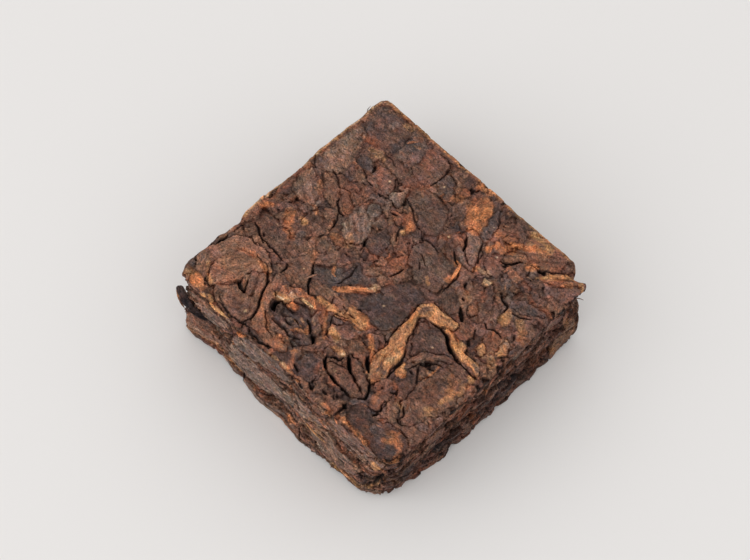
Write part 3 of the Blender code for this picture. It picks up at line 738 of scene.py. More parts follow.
sideCracks = [                  # width, depth, and its points
    (1, 0.9, 0.3, 5.8, 1.3, 5.2, 2.3, 4.8, 3.3, 4.7), (0.3, 0.5, 1.1, 7.1, 1.9, 6.9),
    (0.3, 0.5, 3.3, 8.2, 4.1, 8), (0.2, 0.4, 5.4, 7.2, 6, 7.1), (0.2, 0.4, 5.3, 6.2, 6.1, 6),
    (0.3, 0.4, 5.2, 5.3, 5.9, 5.5, 7.1, 5.1), (0.25, 0.5, 6.7, 7.5, 7.2, 7.1),
    (0.2, 0.4, 7.3, 4, 8.1, 4.1, 8.9, 3.9), (0.3, 0.5, 8.6, 5, 9.4, 4.7),
    (0.25, 0.5, 10, 6, 11.2, 6.2, 12.1, 6.6), (0.3, 0.5, 7, 3.3, 7.5, 2.7),
    (0.35, 0.6, 7.2, 2, 7.4, 1.2, 7.3, 0.4), (0.35, 0.5, 9.3, 1.7, 10.5, 2.4, 11.9, 2.8),
    (0.35, 0.6, 11.7, 6.8, 12.5, 6, 13.2, 4.9, 13.3, 4.4), (0.4, 0.6, 12.3, 7.7, 12.9, 7.6),
    (0.2, 0.5, 13.5, 7.9, 14.7, 7.8), (0.35, 0.5, 13.8, 7.1, 14.7, 6.9), (0.6, 0.8, 15.4, 6.4, 16, 6.1),
    (0.25, 0.5, 14.5, 5.3, 15.1, 5.2), (0.25, 0.5, 15.7, 3.9, 16.7, 3.7),
    (0.35, 0.6, 17.1, 5.3, 18.3, 5.3, 19.1, 5), (0.15, 0.4, 16.7, 4.6, 18.1, 4.4),
    (0.55, 0.8, 19.2, 5.3, 19.8, 4.7, 20.1, 4), (0.35, 0.6, 19.3, 6.3, 20.7, 6.2),
    (0.25, 0.5, 20.8, 6.8, 21, 5.4), (0.5, 0.7, 22.1, 6.8, 22.6, 6.4),
    (0.7, 0.7, 21.1, 3.6, 22.1, 3.4, 22.9, 4), (0.5, 0.6, 19.9, 2.8, 21.1, 2.4, 21.9, 2.6),
    (0.35, 0.5, 18.3, 3, 18.9, 2.6), (0.45, 0.7, 12.6, 2.2, 13.1, 1.7), (0.45, 0.6, 13.8, 1.6, 14.1, 0.6),
    (0.2, 0.4, 15.1, 2, 16.1, 1.9), (0.3, 0.4, 17.3, 2.1, 18.1, 1.7), (0.3, 0.5, 1.6, 3, 2.3, 2.6),
    (0.25, 0.4, 3.5, 3.4, 3.9, 2.4), (0.25, 0.5, 4.1, 2.3, 5.3, 2.1, 6.5, 2.2),
    (0.25, 0.4, 8.1, 1.6, 8.7, 1), (0.3, 0.5, 16.1, 8.4, 17.3, 8.1), (0.3, 0.5, 12.7, 8.7, 13.7, 8.6),
    (0.6, 0.8, 24.6, 7.5, 25.3, 7.3, 26, 7), (0.4, 0.6, 26.5, 6.6, 27, 5.9),
    (0.35, 0.5, 23.5, 4.2, 24.5, 5, 24.7, 5.6), (0.8, 0.9, 26.3, 3.2, 27.1, 2.7, 27.6, 2.3),
    (0.5, 0.6, 28.1, 2.6, 28.9, 2.5), (0.3, 0.5, 27.6, 7.6, 28.3, 7), (0.4, 0.5, 30.3, 5.2, 30.9, 4.8),
    (0.35, 0.5, 31.9, 7, 32.7, 6.6), (0.3, 0.5, 32.3, 5.2, 32.7, 4.8), (0.5, 0.7, 33.8, 6.1, 34.7, 5.7),
    (0.5, 0.7, 34, 2.7, 34.7, 2.2), (0.3, 0.5, 31.3, 1.6, 32.1, 1.2),
    (1.3, 1, 35.3, 3.4, 36.7, 3.7, 38.3, 3), (0.8, 0.8, 36.2, 5.6, 36.1, 4.4, 35.9, 2.4),
    (0.5, 0.6, 24.3, 7.9, 25.3, 7.5), (0.4, 0.6, 35.7, 5.6, 36.4, 5), (0.4, 0.5, 35.5, 1.6, 36.3, 1.3),
    (0.3, 0.5, 37.5, 5.3, 38.5, 4.8), (0.25, 0.4, 38.7, 8, 39.9, 7.6), (0.35, 0.5, 40.3, 7.9, 40.8, 7.5),
    (0.4, 0.6, 40.4, 5.4, 41.2, 5), (0.4, 0.6, 40.7, 2.4, 41.7, 1.8), (0.25, 0.5, 41.9, 6.4, 42.7, 6.2),
    (0.35, 0.5, 43.7, 3.4, 44.9, 2.9), (0.3, 0.5, 39.1, 2.6, 40.1, 2.2), (0.25, 0.5, 29.1, 4.2, 29.7, 3.4),
    (0.16, 0.4, 5.6, 5.4, 6.4, 5.5, 7.2, 5.3), (0.4, 0.8, 8.4, 9.4, 9.2, 9.9, 10, 10.1),
    (0.14, 0.4, 8.7, 8.6, 9.6, 8.9, 10.5, 9), (0.16, 0.4, 9, 5.6, 9.8, 5.9, 10.9, 6),
    (0.3, 0.7, 11.8, 7.3, 12.4, 7.6, 13.2, 7.7), (0.22, 0.5, 12.3, 6, 12.7, 5.6, 13.3, 5.2),
    (0.18, 0.5, 13, 7.6, 13.8, 7.3, 14.8, 7), (0.25, 0.5, 9, 1.2, 10.5, 2.1, 11.9, 2.3),
    (0.4, 0.7, 12.5, 1.7, 13, 2.1, 13.5, 2), (0.3, 0.7, 15.4, 6, 15.7, 6, 16.3, 5.6),
    (0.4, 0.8, 18.9, 4.6, 20, 5, 21, 5.5), (0.16, 0.5, 13.6, 5.3, 14.8, 5.2, 15.7, 4.6),
    (0.18, 0.5, 16.4, 4.8, 17.5, 4.7, 18.9, 4.6), (0.5, 0.6, 20.4, 1.8, 21.8, 2.8, 23, 5.7),
    (0.7, 1, 38.7, 2.3, 37.6, 3.1, 36.6, 3.6, 35.8, 3.2, 35.4, 2.1),
    (0.5, 0.7, 30.6, 2.7, 29.1, 3.2, 27.9, 2.6, 27, 3), (0.3, 0.5, 42.4, 0.3, 40.9, 2.1, 39.6, 2.3),
    (0.3, 0.5, 27.8, 11.6, 29.1, 10.6, 30.2, 10.2), (0.3, 0.5, 25.2, 6.1, 26.2, 6.9, 27.7, 5.9),
    (0.6, 0.6, 20.4, 1.6, 21.7, 2.4, 23.1, 5.2),
]

# the soot tones lie over the deep cracks as painted shade
sideTones = [                   # colour, strength, width, and its points
    ("ash", 0.6, 0.9, 4.6, 5.1, 5.9, 4.9), ("ash", 0.5, 0.9, 4.6, 4.2, 5.7, 4),
    ("brown", 0.6, 0.9, 0.7, 3.8, 1.3, 3.6), ("brown", 0.6, 0.9, 15.1, 4.3, 16.3, 4.2),
    ("brown", 0.4, 0.8, 16.7, 4, 17.9, 4), ("ash", 0.4, 0.8, 4.7, 6.2, 5.7, 6.2),
    ("dark", 0.5, 0.9, 12.3, 7.2, 13.3, 7), ("umber", 0.5, 0.9, 13.7, 2.8, 14.9, 3),
    ("dark", 0.6, 0.9, 1.9, 4, 2.9, 3.9), ("ash", 0.5, 0.7, 3.3, 5.2, 4.1, 5.2),
    ("gold", 0.45, 0.7, 1.1, 1.2, 2.5, 1.3, 4.5, 1.5, 6.7, 1.5),
    ("gold", 0.5, 0.6, 17.5, 1, 19.5, 1.1, 21.1, 1.6), ("soot", 0.7, 1.3, 20.5, 3, 21.7, 3.2, 22.5, 4),
    ("soot", 0.5, 0.8, 23.1, 4, 23.9, 3.6), ("soot", 0.4, 1.1, 28.1, 4.2, 29.3, 4),
    ("soot", 0.6, 2.4, 35.5, 3.2, 38.1, 3), ("orange", 0.6, 0.6, 0.5, 9, 1.1, 8.6),
    ("gold", 0.8, 0.5, 2.9, 8.9, 4.1, 8.9, 4.9, 8.8), ("cream", 0.8, 0.3, 3.1, 8.5, 3.4, 8.5),
    ("orange", 0.8, 0.3, 6.7, 8.3, 7.2, 8.5), ("orange", 0.6, 0.35, 5.7, 5.3, 6.9, 5.1),
    ("rust", 0.6, 0.6, 1.3, 2.2, 2.1, 1.6), ("gold", 0.4, 0.4, 4.5, 1.4, 6.9, 1.4),
    ("gold", 0.4, 0.4, 10.3, 0.4, 12.5, 0.3), ("orange", 0.6, 0.4, 12.5, 1.4, 13.3, 1.5),
    ("orange", 0.7, 0.4, 15.7, 5.8, 16.2, 5.4), ("orange", 0.6, 0.4, 15.9, 7.4, 16.3, 8),
    ("orange", 0.6, 0.4, 16.5, 8.6, 17.3, 8.3), ("orange", 0.4, 0.4, 11.9, 6.4, 12.5, 5.6),
    ("gold", 0.4, 0.5, 14.7, 4.6, 15.7, 4.7), ("gold", 0.5, 0.5, 17.1, 1.2, 18.5, 1.1, 20.5, 1.3),
    ("gold", 0.5, 0.4, 21.3, 1.6, 22.3, 3), ("orange", 0.5, 0.4, 21.9, 6, 22.3, 6.2),
    ("gold", 0.3, 0.5, 8.1, 0.6, 8.7, 0.4), ("brown", 0.8, 0.5, 25.1, 6.9, 25.7, 6.5),
    ("orange", 0.5, 0.5, 33.3, 7.6, 33.8, 6.8), ("orange", 0.45, 0.5, 32.5, 4, 32.8, 3.5),
    ("rust", 0.6, 0.4, 23.9, 9, 24.3, 8), ("orange", 0.5, 0.3, 40.5, 7.7, 40.8, 7.5),
    ("orange", 0.5, 0.3, 41, 5.2, 41.2, 4.9), ("gold", 0.5, 0.7, 43.5, 5.6, 43.9, 4.6),
    ("gold", 0.45, 0.7, 42.5, 2.4, 42.9, 1.4), ("gold", 0.6, 0.4, 45.1, 9.2, 45.4, 9),
    ("gold", 0.4, 0.4, 23.9, 3.6, 24.9, 2.6), ("rust", 0.6, 0.3, 39.3, 5.8, 39.5, 4.6),
    ("rust", 0.4, 0.5, 29.3, 8.2, 30.1, 7.8), ("orange", 0.7, 0.2, 5.8, 5.1, 6.5, 5.2, 7.2, 5.1),
    ("cream", 0.4, 0.3, 13.7, 2.6, 15, 3.2, 16.2, 3.4),
    ("gold", 0.5, 0.25, 10.4, 9.5, 11.7, 9.3, 12.6, 9, 13.9, 9.1),
    ("gold", 0.35, 0.4, 5.7, 1.5, 6.5, 1.7, 7.2, 1.4), ("orange", 0.4, 0.5, 12.2, 1.4, 12.7, 1.3),
    ("umber", 0.4, 0.5, 8.8, 5.2, 9.7, 6, 10.7, 6.1), ("mauve", 0.5, 0.6, 1.3, 2.1, 2.5, 2, 4.3, 2.3),
    ("gold", 0.3, 0.5, 3.7, 2.1, 5.1, 2.5, 6.3, 2.4), ("soot", 0.6, 1.3, 38.7, 2.3, 36.6, 3.6, 35.4, 2.1),
    ("soot", 0.5, 0.9, 30.6, 2.7, 27.9, 2.6), ("ash", 0.4, 1, 42.2, 3, 44.5, 3.5),
    ("brown", 0.4, 0.6, 37, 5.5, 38.8, 5.2, 40.8, 4.2), ("soot", 0.7, 1, 20.6, 1.6, 22.1, 3.3, 23.1, 6.1),
    ("mauve", 0.5, 0.6, 19.9, 3, 20.9, 3.5), ("umber", 0.6, 0.8, 0.9, 1.4, 1.9, 1.4),
    ("gold", 0.5, 0.6, 4, 2.1, 5.1, 2.3), ("ash", 0.5, 0.5, 14.5, 0.1, 16.1, 0.6, 17.8, 1.1),
    ("ash", 0.5, 1.2, 1.3, 2.1, 2.8, 2, 4.5, 2.7),
    ("ash", 0.55, 1, 6.1, 0.8, 7.8, 0.2, 9.5, 0.5, 11.5, 1.2),
    ("umber", 0.5, 0.8, 11.8, 0.7, 13.8, 1, 15.5, 1.8), ("ash", 0.45, 0.8, 15.5, 0.9, 17.8, 1.6),
]


def aroundSquare(s):
    # the point of the plain square at this distance round it, from the front left corner
    side = brick["side"]
    corner = np.array([(-1, -1), (1, -1), (1, 1), (-1, 1)]) * halfSide
    ways = np.array([(1, 0), (0, 1), (-1, 0), (0, -1)])
    s = np.asarray(s, float) % (4 * side)
    k = np.minimum((s / side).astype(int), 3)
    point = corner[k] + ways[k] * (s - k * side)[..., None]
    return point[..., 0], point[..., 1]


def distanceRound(x, y):
    # the reverse, for a point on the plain square
    side = brick["side"]
    places = [x + halfSide, side + y + halfSide, 2 * side + halfSide - x]
    onSide = [np.isclose(y, -halfSide), np.isclose(x, halfSide), np.isclose(y, halfSide)]
    return np.select(onSide, places, 3 * side + halfSide - y)


def paintSides():
    roundLine = np.linspace(0, 4 * brick["side"], sides["cellsRound"] + 1)
    upLine = np.linspace(0, brick["height"], sides["rows"] + 1)
    field = newField(*np.meshgrid(roundLine, upLine, indexing="ij"), 0.0, "umber")
    rng = np.random.default_rng(21)
    for kind in ("scraps", "clumps", "slabs"):
        scatterScraps(field, rng, sides[kind])
    for leaf in sideLeaves.values():
        shape = outlineShape(field, leaf["points"], 0)
        layLeaf(field, shape, {"level": 0.05, "fibre": 0.06, **leaf}, rng)
    markField(field, sideTones, 500, sideCracks, 600)
    slits = sides["slits"]
    for k in range(slits["number"]):
        place = rng.uniform(0, 4 * brick["side"])
        z = rng.uniform(*slits["z"])
        length = rng.uniform(*slits["length"])
        path = [(place, z), (place + length, z + rng.uniform(*slits["rise"]))]
        cutCrack(field, path, rng.uniform(*slits["width"]), rng.uniform(*slits["depth"]), 800 + k)
    look = sides["dusk"]
    dusk = smoothStep(*look["start"], field["a"]) * smoothStep(*look["end"], field["a"])
    shadow = dusk * (look["most"] - look["lessAbove"] * smoothStep(*look["above"], field["b"]))
    field["colour"] *= (1 - shadow)[..., None] * (1 - dusk[..., None] * look["tint"])
    field["grain"][..., 0] *= 1 + look["grain"] * dusk
    field["height"][-1] = field["height"][0]
    field["openness"] = exposure(field["height"], 3, 0.14)
    return field


sideField = paintSides()


def sideSurface(s, z):
    # the worn side at a distance round the brick and a height: point, colour, grain, openness
    x, y = aroundSquare(s)
    newX, newY, outX, outY = roundedSquare(x, y, z)
    i = np.rint(np.asarray(s) / (4 * brick["side"]) * sides["cellsRound"]).astype(int)
    i = i % sides["cellsRound"]
    j = np.clip(np.rint(z / brick["height"] * sides["rows"]).astype(int), 0, sides["rows"])
    out = sideField["height"][i, j] * (0.5 + 0.5 * smoothStep(0.3, 2.5, z)) + edgeStandOut(x, y, z)
    out = out + 0.05 * softNoise(s, z, 0.8, 31) + 0.03 * softNoise(s, z, 0.3, 32)
    point = np.stack([*heldIn(newX + outX * out, newY + outY * out), z], -1)
    return point, sideField["colour"][i, j], sideField["grain"][i, j], sideField["openness"][i, j]


def buildSides():
    bm = newMesh()
    bmesh.ops.create_grid(bm, x_segments=sides["cellsRound"], y_segments=sides["cellsUp"], size=1.0)
    flat = np.array([vertex.co[:2] for vertex in bm.verts])
    s = (flat[:, 0] + 1) / 2 * 4 * brick["side"]
    low = baseLift(*aroundSquare(s)) * 0.9
    z = low + (flat[:, 1] + 1) / 2 * (sides["high"] - low)
    dressVertices(bm, bm.verts, *sideSurface(s, z))
    seam = [vertex for vertex, place in zip(bm.verts, flat[:, 0]) if abs(place) > 0.9999]
    bmesh.ops.remove_doubles(bm, verts=seam, dist=0.001 * mm)
    for isLow, level in sides["fanLevels"].items():
        ring = [edge for edge in bm.edges if edge.is_boundary
                and (edge.verts[0].co.z < 5 * mm) == isLow]
        closeWithFan(bm, ring, level)
    finishPiece(bm, "sideLayers", stackedEdges)


buildSides()

# the top: a mosaic of pressed leaves, and a skirt of its edge that hangs a little over the sides
top = {
    "cells": 300,
    "skirtRows": 7,
    "skirtDepth": 0.7,
    "fanLevel": 4.0,            # of its closing fan, below the deepest gaps
    "scraps": {
        "spacing": (1.1, 1.1), "length": (1.4, 3.6), "slimness": (0.45, 0.9), "spread": 60,
        "level": 8.93, "unevenness": 0.045, "crack": 0.13, "calmCorner": (-11, 11),
        "colours": {"umber": 5, "dark": 3, "brown": 3, "mauve": 2, "slate": 1, "rust": 1},
    },
    "crumbs": {
        "spacing": (1.3, 1.3), "length": (0.5, 1.7), "slimness": (0.3, 0.8), "spread": 60,
        "level": 8.94, "unevenness": 0.045, "crack": 0.09, "calmCorner": (-11, 11),
        "colours": {"umber": 4, "dark": 2, "brown": 4, "mauve": 3, "slate": 1, "rust": 2, "ash": 1},
    },
    "glints": {                 # small pale spots
        "width": 0.17, "colour": "cream", "strength": 0.9,
        "spots": pairs([5.9, 7.3, 10.4, 1.0, -6, 6.4, -2.6, 11.2, -2.6, 9.2, -5.2, -4.2, 1.2, -7.1, 0.8, 6.2,
                        2.7, 9.5, -5.6, -10.3, -9.5, -3, 6.7, -1.8, 6.5, -2.5, 1.5, -2, 9.8, -1.4, 2.9, -8.8,
                        -5.8, 0.8, -4.2, 3.2, 4.7, 7.7, 8.2, 3.3]),
    },
}

# the leaves that can be told apart on top, from the lowest to the highest
topLeaves = {
    "backPlate": leafOf("umber", "slate", -11.4, 11.2, -9.6, 11.4, -7.9, 11.2, -7.1, 9.9, -7.8, 8.4,
        -9.6, 8.2, -11, 8.7, fibre=0.02, level=8.92, mix=0.7, crack=0.1),
    "backMiddle": leafOf("umber", "slate", -7.8, 11.4, -6.4, 11.4, -5.6, 10.6, -5.5, 9.2, -5.8, 8.1,
        -7.4, 8, -7.6, 9.6, fibre=0.02, mix=0.8, crack=0.1),
    "backRidge": leafOf("umber", "dark", -7.6, 8.2, -5.9, 8.2, -4.4, 7.9, -4.8, 7.1, -6.6, 7.1, -8, 7.3,
        fibre=0.02, crack=0.1),
    "pinkLeaf": leafOf("mauve", "umber", -5.6, 11.2, -4, 11.2, -3.4, 10, -3.5, 8.8, -4.2, 8, -5.4, 8.3,
        -5.8, 9.6, shade=0.95),
    "backSlate": leafOf("slate", "dark", -3.2, 10, -2.6, 10.3, -1.9, 9.6, -1.5, 8.6, -2, 8.5, -3.1, 9),
    "greyLeaf": leafOf("umber", "slate", -4, 7.6, -3, 8.3, -1.5, 8.2, -0.3, 7.2, 0, 5.8, -0.9, 5, -1.8, 5.2,
        -2.6, 5.8, -3.9, 6.2, -4.3, 6.9, arch=0.15, fibre=0.02, shade=0.88),
    "block": leafOf("mauve", "brown", -7.6, 6.9, -6.6, 7, -5.7, 6.8, -5.2, 6, -5.3, 5.3, -6, 5, -7.3, 5.2,
        -7.4, 6, arch=0.1),
    "blueBit": leafOf("slate", "dark", -9.3, 6.4, -8.6, 6.7, -7.8, 6.2, -8.1, 5.7, -9, 5.6),
    "leftUpper": leafOf("brown", "ash", -11.4, 8.2, -10.4, 8, -9.6, 6, -9.2, 5, -9.6, 3.8, -11, 3.2,
        -11.6, 5, fibre=0.02, shade=1.1),
    "leftMiddle": leafOf("brown", "ash", -11.2, 2.6, -9.8, 2.2, -8.8, 1.2, -8.6, 0.2, -10, 0, -11.3, 0.6,
        grain=-40),
    "ridgeLeaf": leafOf("ash", "brown", -10.7, 8.1, -10.1, 6.4, -9.4, 5.6, widths=(0.25, 0.4, 0.25),
        level=9.02),
    "roundLeaf": leafOf("umber", "rust", -8.2, 3, -7.4, 3.2, -6.3, 2.7, -6.2, 1.9, -6.9, 1.6, -7.6, 2.2,
        arch=0.1),
    "longLeaf": leafOf("brown", "umber", -10.3, 3.3, -9.2, 3.3, -8.2, 2.7, -7.5, 1.9, -7.4, 1.3, -8.6, 1.5,
        -9.8, 2.3, grain=-35),
    "speckled": leafOf("ash", "brown", -5.9, 3.1, -4.6, 3, -3.8, 2, -3.7, 0.6, -4.6, -0.1, -5.6, 0.4,
        -6.1, 1.6, fibre=0.08, grain=-40, level=8.97, shade=0.92),
    "blueRound": leafOf("slate", "ash", -5.6, 3.8, -5, 4.2, -4.5, 3.8, -4.6, 3.1, -5.3, 3, shade=0.9,
        arch=0.1),
    "fanLeaf": leafOf("ash", "brown", -4.6, 7, -4.3, 6.4, -3.8, 5.2, -4.6, 5.1, -5.3, 5.4, -4.9, 6.2,
        grain=100, level=9.0, shade=1.1),
    "rustFlank": leafOf("rust", "umber", -4, 4.5, -3.4, 4.9, -2.9, 5.3, -2.6, 4.6, -2.4, 4, -3.2, 3.9,
        level=8.96, shade=0.66),
    "rustLeaf": leafOf("rust", "orange", -2.9, 5.5, -2.2, 5.2, -1.6, 4.9, -1.6, 4.3, -2.1, 3.95, -2.6, 4.2,
        -2.8, 4.8, level=9.0, shade=0.67),
    "dusky": leafOf("dark", "slate", -3.5, 2.6, -2.9, 3, -1.9, 2.4, -1.8, 1.2, -2.5, 0.6, -3.4, 1,
        arch=0.1),
    "middlePlate": leafOf("umber", "ash", -0.4, 4.5, 0.6, 4.9, 2.4, 4.8, 3.3, 4.4, 3.6, 3.2, 3.2, 1.9,
        2, 1.6, 0.6, 2, -0.3, 2.8, fibre=0.02, shade=0.75),
    "rustPatch": leafOf("orange", "rust", 0.2, 10.9, 0.8, 11, 1.6, 10.6, 2, 9.4, 2.2, 8.3, 1.9, 7.8, 1, 7.8,
        0.6, 8.6, 0.2, 9.5, fibre=0.01, shade=0.8, grain=80),
    "greyStrip": leafOf("slate", "dark", 1.8, 10.9, 2.3, 11, 2.6, 10.2, 3, 9.4, 3.1, 8.2, 2.4, 8.2,
        2.1, 9.4, 1.8, 10.3),
    "facet": leafOf("mauve", "rust", 4.3, 8, 5, 8.1, 5.5, 7.4, 6, 6.8, 6, 6.2, 5, 6.3, 4.2, 6.8, fibre=0.02,
        level=8.9),
    "twistUpper": leafOf("mauve", "ash", 1.6, 7.6, 2, 8.2, 2.6, 8.1, 3.4, 7.2, 4, 5.9, 4.1, 5.3, 3.1, 5.9,
        arch=0.2, grain=-60),
    "twistLower": leafOf("mauve", "ash", 1.7, 6, 1.9, 6.5, 2.6, 6, 3.5, 5.6, 4.2, 5.5, 3.7, 5.1, 2.7, 5.4,
        arch=0.15, grain=-40),
    "ridge": leafOf("brown", "rust", 5.2, 9.2, 6, 9.9, 7.4, 10.4, 9.2, 11.2, 9.7, 10.3, 8.8, 9.8, 7.4, 9.3,
        6.2, 8.6, 5.6, 7.9, 5, 8.2, grain=35, arch=0.15, fibre=0.08, shade=1.05),
    "backSlab": leafOf("umber", "rust", 5.2, 10.9, 6.5, 11.8, 7.7, 11.9, 8.9, 11.9, 9.7, 11.2, 9.4, 10.5,
        8.6, 10, 7.7, 9.6, 6.6, 9.3, grain=35, fibre=0.07, level=8.97),
    "slabHole": leafOf("dark", "umber", 9, 10.9, 9.1, 11.4, 9.5, 11.2, 9.6, 10.6, 9.3, 10.5, level=8.9,
        crack=0.0, cover=0.5),
    "cornerTip": leafOf("mauve", "umber", 9.5, 9.5, 10.2, 10.6, 11.1, 10.9, 11.6, 10.4, 11.6, 9.4,
        11.5, 8.5, 10.7, 8.2, 9.8, 8.5, grain=45, fibre=0.06, level=8.95),
    "goldLine": leafOf("rust", "brown", 8.3, 9, 8.9, 9.9, 9.8, 10.6, 10.6, 11, 11.1, 10.9, 10.8, 10.1,
        9.8, 9.2, 8.9, 8.7, grain=40, fibre=0.12, level=8.97, crack=0.1, arch=0.0),
    "pebble": leafOf("slate", "mauve", 8.4, 5.7, 8.8, 6.2, 9.8, 6.6, 10.8, 6.8, 10.9, 6.3, 10.2, 5.6,
        9.4, 5.2, 8.6, 5.3, arch=0.2),
    "darkChunk": leafOf("dark", "umber", 4, 2.9, 5, 2.9, 5.8, 2, 5.6, 1.2, 4.6, 1.2, 3.9, 1.9, grain=-45,
        fibre=0.1, arch=0.12, shade=0.85),
    "rustChunk": leafOf("rust", "brown", 6.1, 3.9, 6.6, 3.7, 7, 2.6, 6.7, 2.2, 6.2, 2.6, 6, 3.2, arch=0.12),
    "tab": leafOf("rust", "mauve", 6.9, 1.6, 7.6, 1.9, 8.2, 1.7, 8.3, 1, 7.9, 0.4, 7.2, 0.3, 6.9, 0.8,
        fibre=0.01, level=9.0),
    "tanPatch": leafOf("gold", "rust", 8.5, 4.9, 9, 4.6, 9.5, 4, 9.2, 3.5, 8.6, 3.6, 8.4, 4.3, shade=0.66),
    "tanStrip": leafOf("brown", "gold", 10.2, 2.9, 10.7, 2.9, 11, 2.2, 10.9, 1.5, 10.5, 1.4, 10.3, 2.1,
        shade=0.86),
    "goldCrumbs": leafOf("gold", "brown", 9.3, 1.3, 9.7, 1.2, 10.1, 0.8, 9.9, 0.3, 9.4, 0.4, 9.2, 0.8,
        fibre=0.08, shade=0.88),
    "pinkCrumb": leafOf("brown", "mauve", 0.2, 1.3, 0.9, 1.3, 1, 0.3, 0.3, 0.3),
    "darkMiddle": leafOf("dark", "slate", 1.2, 1.1, 2.4, 1.2, 3.4, 0.8, 3.3, -0.6, 3.6, -2, 3.6, -3,
        2.2, -3.9, 0.8, -3.6, 0, -2.6, 0.4, -0.6, fibre=0.02, shade=0.85),
    "grainyLeaf": leafOf("brown", "umber", -7.6, -2.8, -6.4, -2.3, -5.2, -2.8, -4.6, -4, -4, -5.2, -4.8, -6,
        -6, -5.4, -6.6, -4.6, -7.6, -4),
    "valleyLeaf": leafOf("slate", "dark", -4.7, -3.2, -3.6, -2.2, -2.6, -1.8, -2.2, -2.8, -2.4, -3.8,
        -3.2, -4.2, -3.8, -4.6, level=8.84),
    "ledgeLeaf": leafOf("umber", "mauve", -11.2, -2.8, -9.6, -2.6, -8.2, -2.9, -7.4, -3.8, -7, -4.8,
        -8.2, -4.8, -9.4, -4.7, -10.6, -4, level=8.86, shade=0.86),
    "spiralBack": leafOf("brown", "mauve", -10.3, -10.2, -11.1, -9.7, -11.5, -8.3, -11.3, -7.1, -10.6, -6,
        -9.1, -5.7, -7.5, -5.9, -6.5, -6.6, -6.1, -8, -5.4, -9.3, -5.2, -10.6, -6, -11.3, -7.7, -11.2,
        -9, -10.9, grain=60, shade=1.12),
    "spiralOuter": leafOf("brown", "mauve", -10.1, -10.5, -10.9, -9.5, -11, -8.1, -10.4, -6.8, -9.1, -6.1,
        -7.7, -6.2, -6.5, -6.7, widths=(1.2, 1.5, 1.5, 1.4, 0.8), level=9.0, shade=1.14, crack=0.15),
    "spiralInner": leafOf("brown", "rust", -9.3, -10.6, -10.2, -9.6, -10.4, -8.1, -9.7, -6.8, -8.4, -6.25,
        -7.2, -6.5, -6.8, -7, -7.5, -7.1, -7.9, -7.9, -8, -8.9, -8.4, -9.7, grain=60, level=9.06,
        shade=1.16, crack=0.12, ragged=0.1, lip=0.03, mix=0.35),
    "spiralRight": leafOf("umber", "brown", -7.4, -7.2, -6.9, -6.7, -6.2, -6.9, -5.9, -8, -5.4, -8.9,
        -6, -9.1, -6.8, -8.1, grain=-70, level=8.99, crack=0.1),
    "spiralFoot": leafOf("umber", "brown", -9, -10.5, -8.5, -9.8, -8, -9.1, -6.9, -9.2, -6, -8.9,
        -5.2, -9.2, -4.9, -10.4, -5.2, -11.1, -6.6, -11.5, -8, -11.2, grain=-40, level=9.05, arch=0.15,
        ragged=0.1, shade=1.02, crack=0.12),
    "spiralPebbles": leafOf("umber", "slate", -6.7, -10.7, -6, -9.9, -5.4, -10.1, -5.5, -10.8, -6.2, -11,
        level=9.08, fibre=0.1, crack=0.05),
    # its soot colour is painted shade at the bottom of the hollow
    "spiralHole": leafOf("soot", "dark", -7.8, -7.6, -7.9, -8.2, -7.9, -8.9, -7.3, -9.2, -6.8, -9.2,
        -7.1, -8.6, -7.4, -8, level=8.3, arch=0.0, ragged=0.05, crack=0.0),
    "spiralDeep": leafOf("slate", "slate", -7.9, -8.8, -7.7, -8.5, -7.3, -8.8, -7.4, -9.1, level=8.55,
        ragged=0.05, crack=0.0),
    "spiralFold": leafOf("brown", "rust", -7.7, -7.8, -7.6, -8.4, -7.2, -8.9, widths=(0.35, 0.4, 0.2),
        level=8.95, ragged=0.05),
    "spiralStrip": leafOf("mauve", "umber", -7.8, -7.3, -7.2, -7.2, -6.7, -8, -6.4, -9, -6.9, -9.1,
        -7.3, -8.4, grain=-65, level=9.0, ragged=0.06, crack=0.1),
    "cornerBlob": leafOf("orange", "gold", -10.9, -10.6, -10.2, -10.4, -9.4, -11, -9.6, -11.4, -10.5, -11.7,
        -11, -11.2, shade=1.08, ragged=0.08, mix=0.4),
    "blackHollow": leafOf("slate", "dark", -4.7, -8.3, -4.5, -7.6, -3.9, -7.2, -3.1, -6.5, -2.4, -6.3,
        -1.4, -7.1, -0.3, -8, -0.4, -9.2, -1.2, -9.7, -2, -9.3, -3.3, -9.1, -4.1, -8.9, level=8.74,
        fibre=0.1, shade=0.82, mix=0.8),
    "crescent": leafOf("brown", "rust", -6.2, -6.3, -5.6, -6.4, -5.3, -7.4, -4.6, -8.6, -3.7, -9.5,
        -2.2, -9.9, -1.2, -10, -1.1, -10.8, -2.6, -11, -4.2, -10.8, -4.9, -10.2, -5.2, -9.2, -5.9, -8,
        arch=0.12, fibre=0.02, grain=-50, level=8.92, shade=1.2),
    "wrinkled": leafOf("rust", "brown", -2.7, -5.7, -2.5, -5.3, -1.7, -5.1, -1.1, -5.2, -0.9, -5.9,
        -0.1, -6.7, 0.5, -7.4, 0.2, -7.6, -0.4, -7.1, -1.3, -6.6, -2, -6.2, fibre=0.12, grain=-60,
        level=8.97, mix=0.8, shade=1.1),
    "ribbed": leafOf("mauve", "ash", -2.4, -6.3, -2.2, -6.1, -1.7, -6.1, -0.9, -6.6, -0.2, -7.4, -0.4, -7.7,
        -0.9, -7.6, -1.7, -7, fibre=0.2, grain=-85, level=8.92),
    "orangeCurl": leafOf("orange", "mauve", -4.7, -7.8, -5, -7.4, -5.1, -6.7, -4.6, -5.9, -3.8, -5.5,
        -2.9, -5.5, -2.1, -6.1, -2.5, -6.3, -3, -6.4, -3.5, -6.5, -3.9, -7.2, -4.4, -7.5, level=9.02,
        fibre=0.12, grain=-25, mix=0.8, shade=1.3),
    "curlPiece": leafOf("orange", "rust", -3.9, -7.5, -3.8, -7, -3.3, -6.9, -3, -7, -2.8, -7.3, -3.1, -7.5,
        -3.6, -7.6, shade=0.95, fibre=0.12, grain=-60, ragged=0.1),
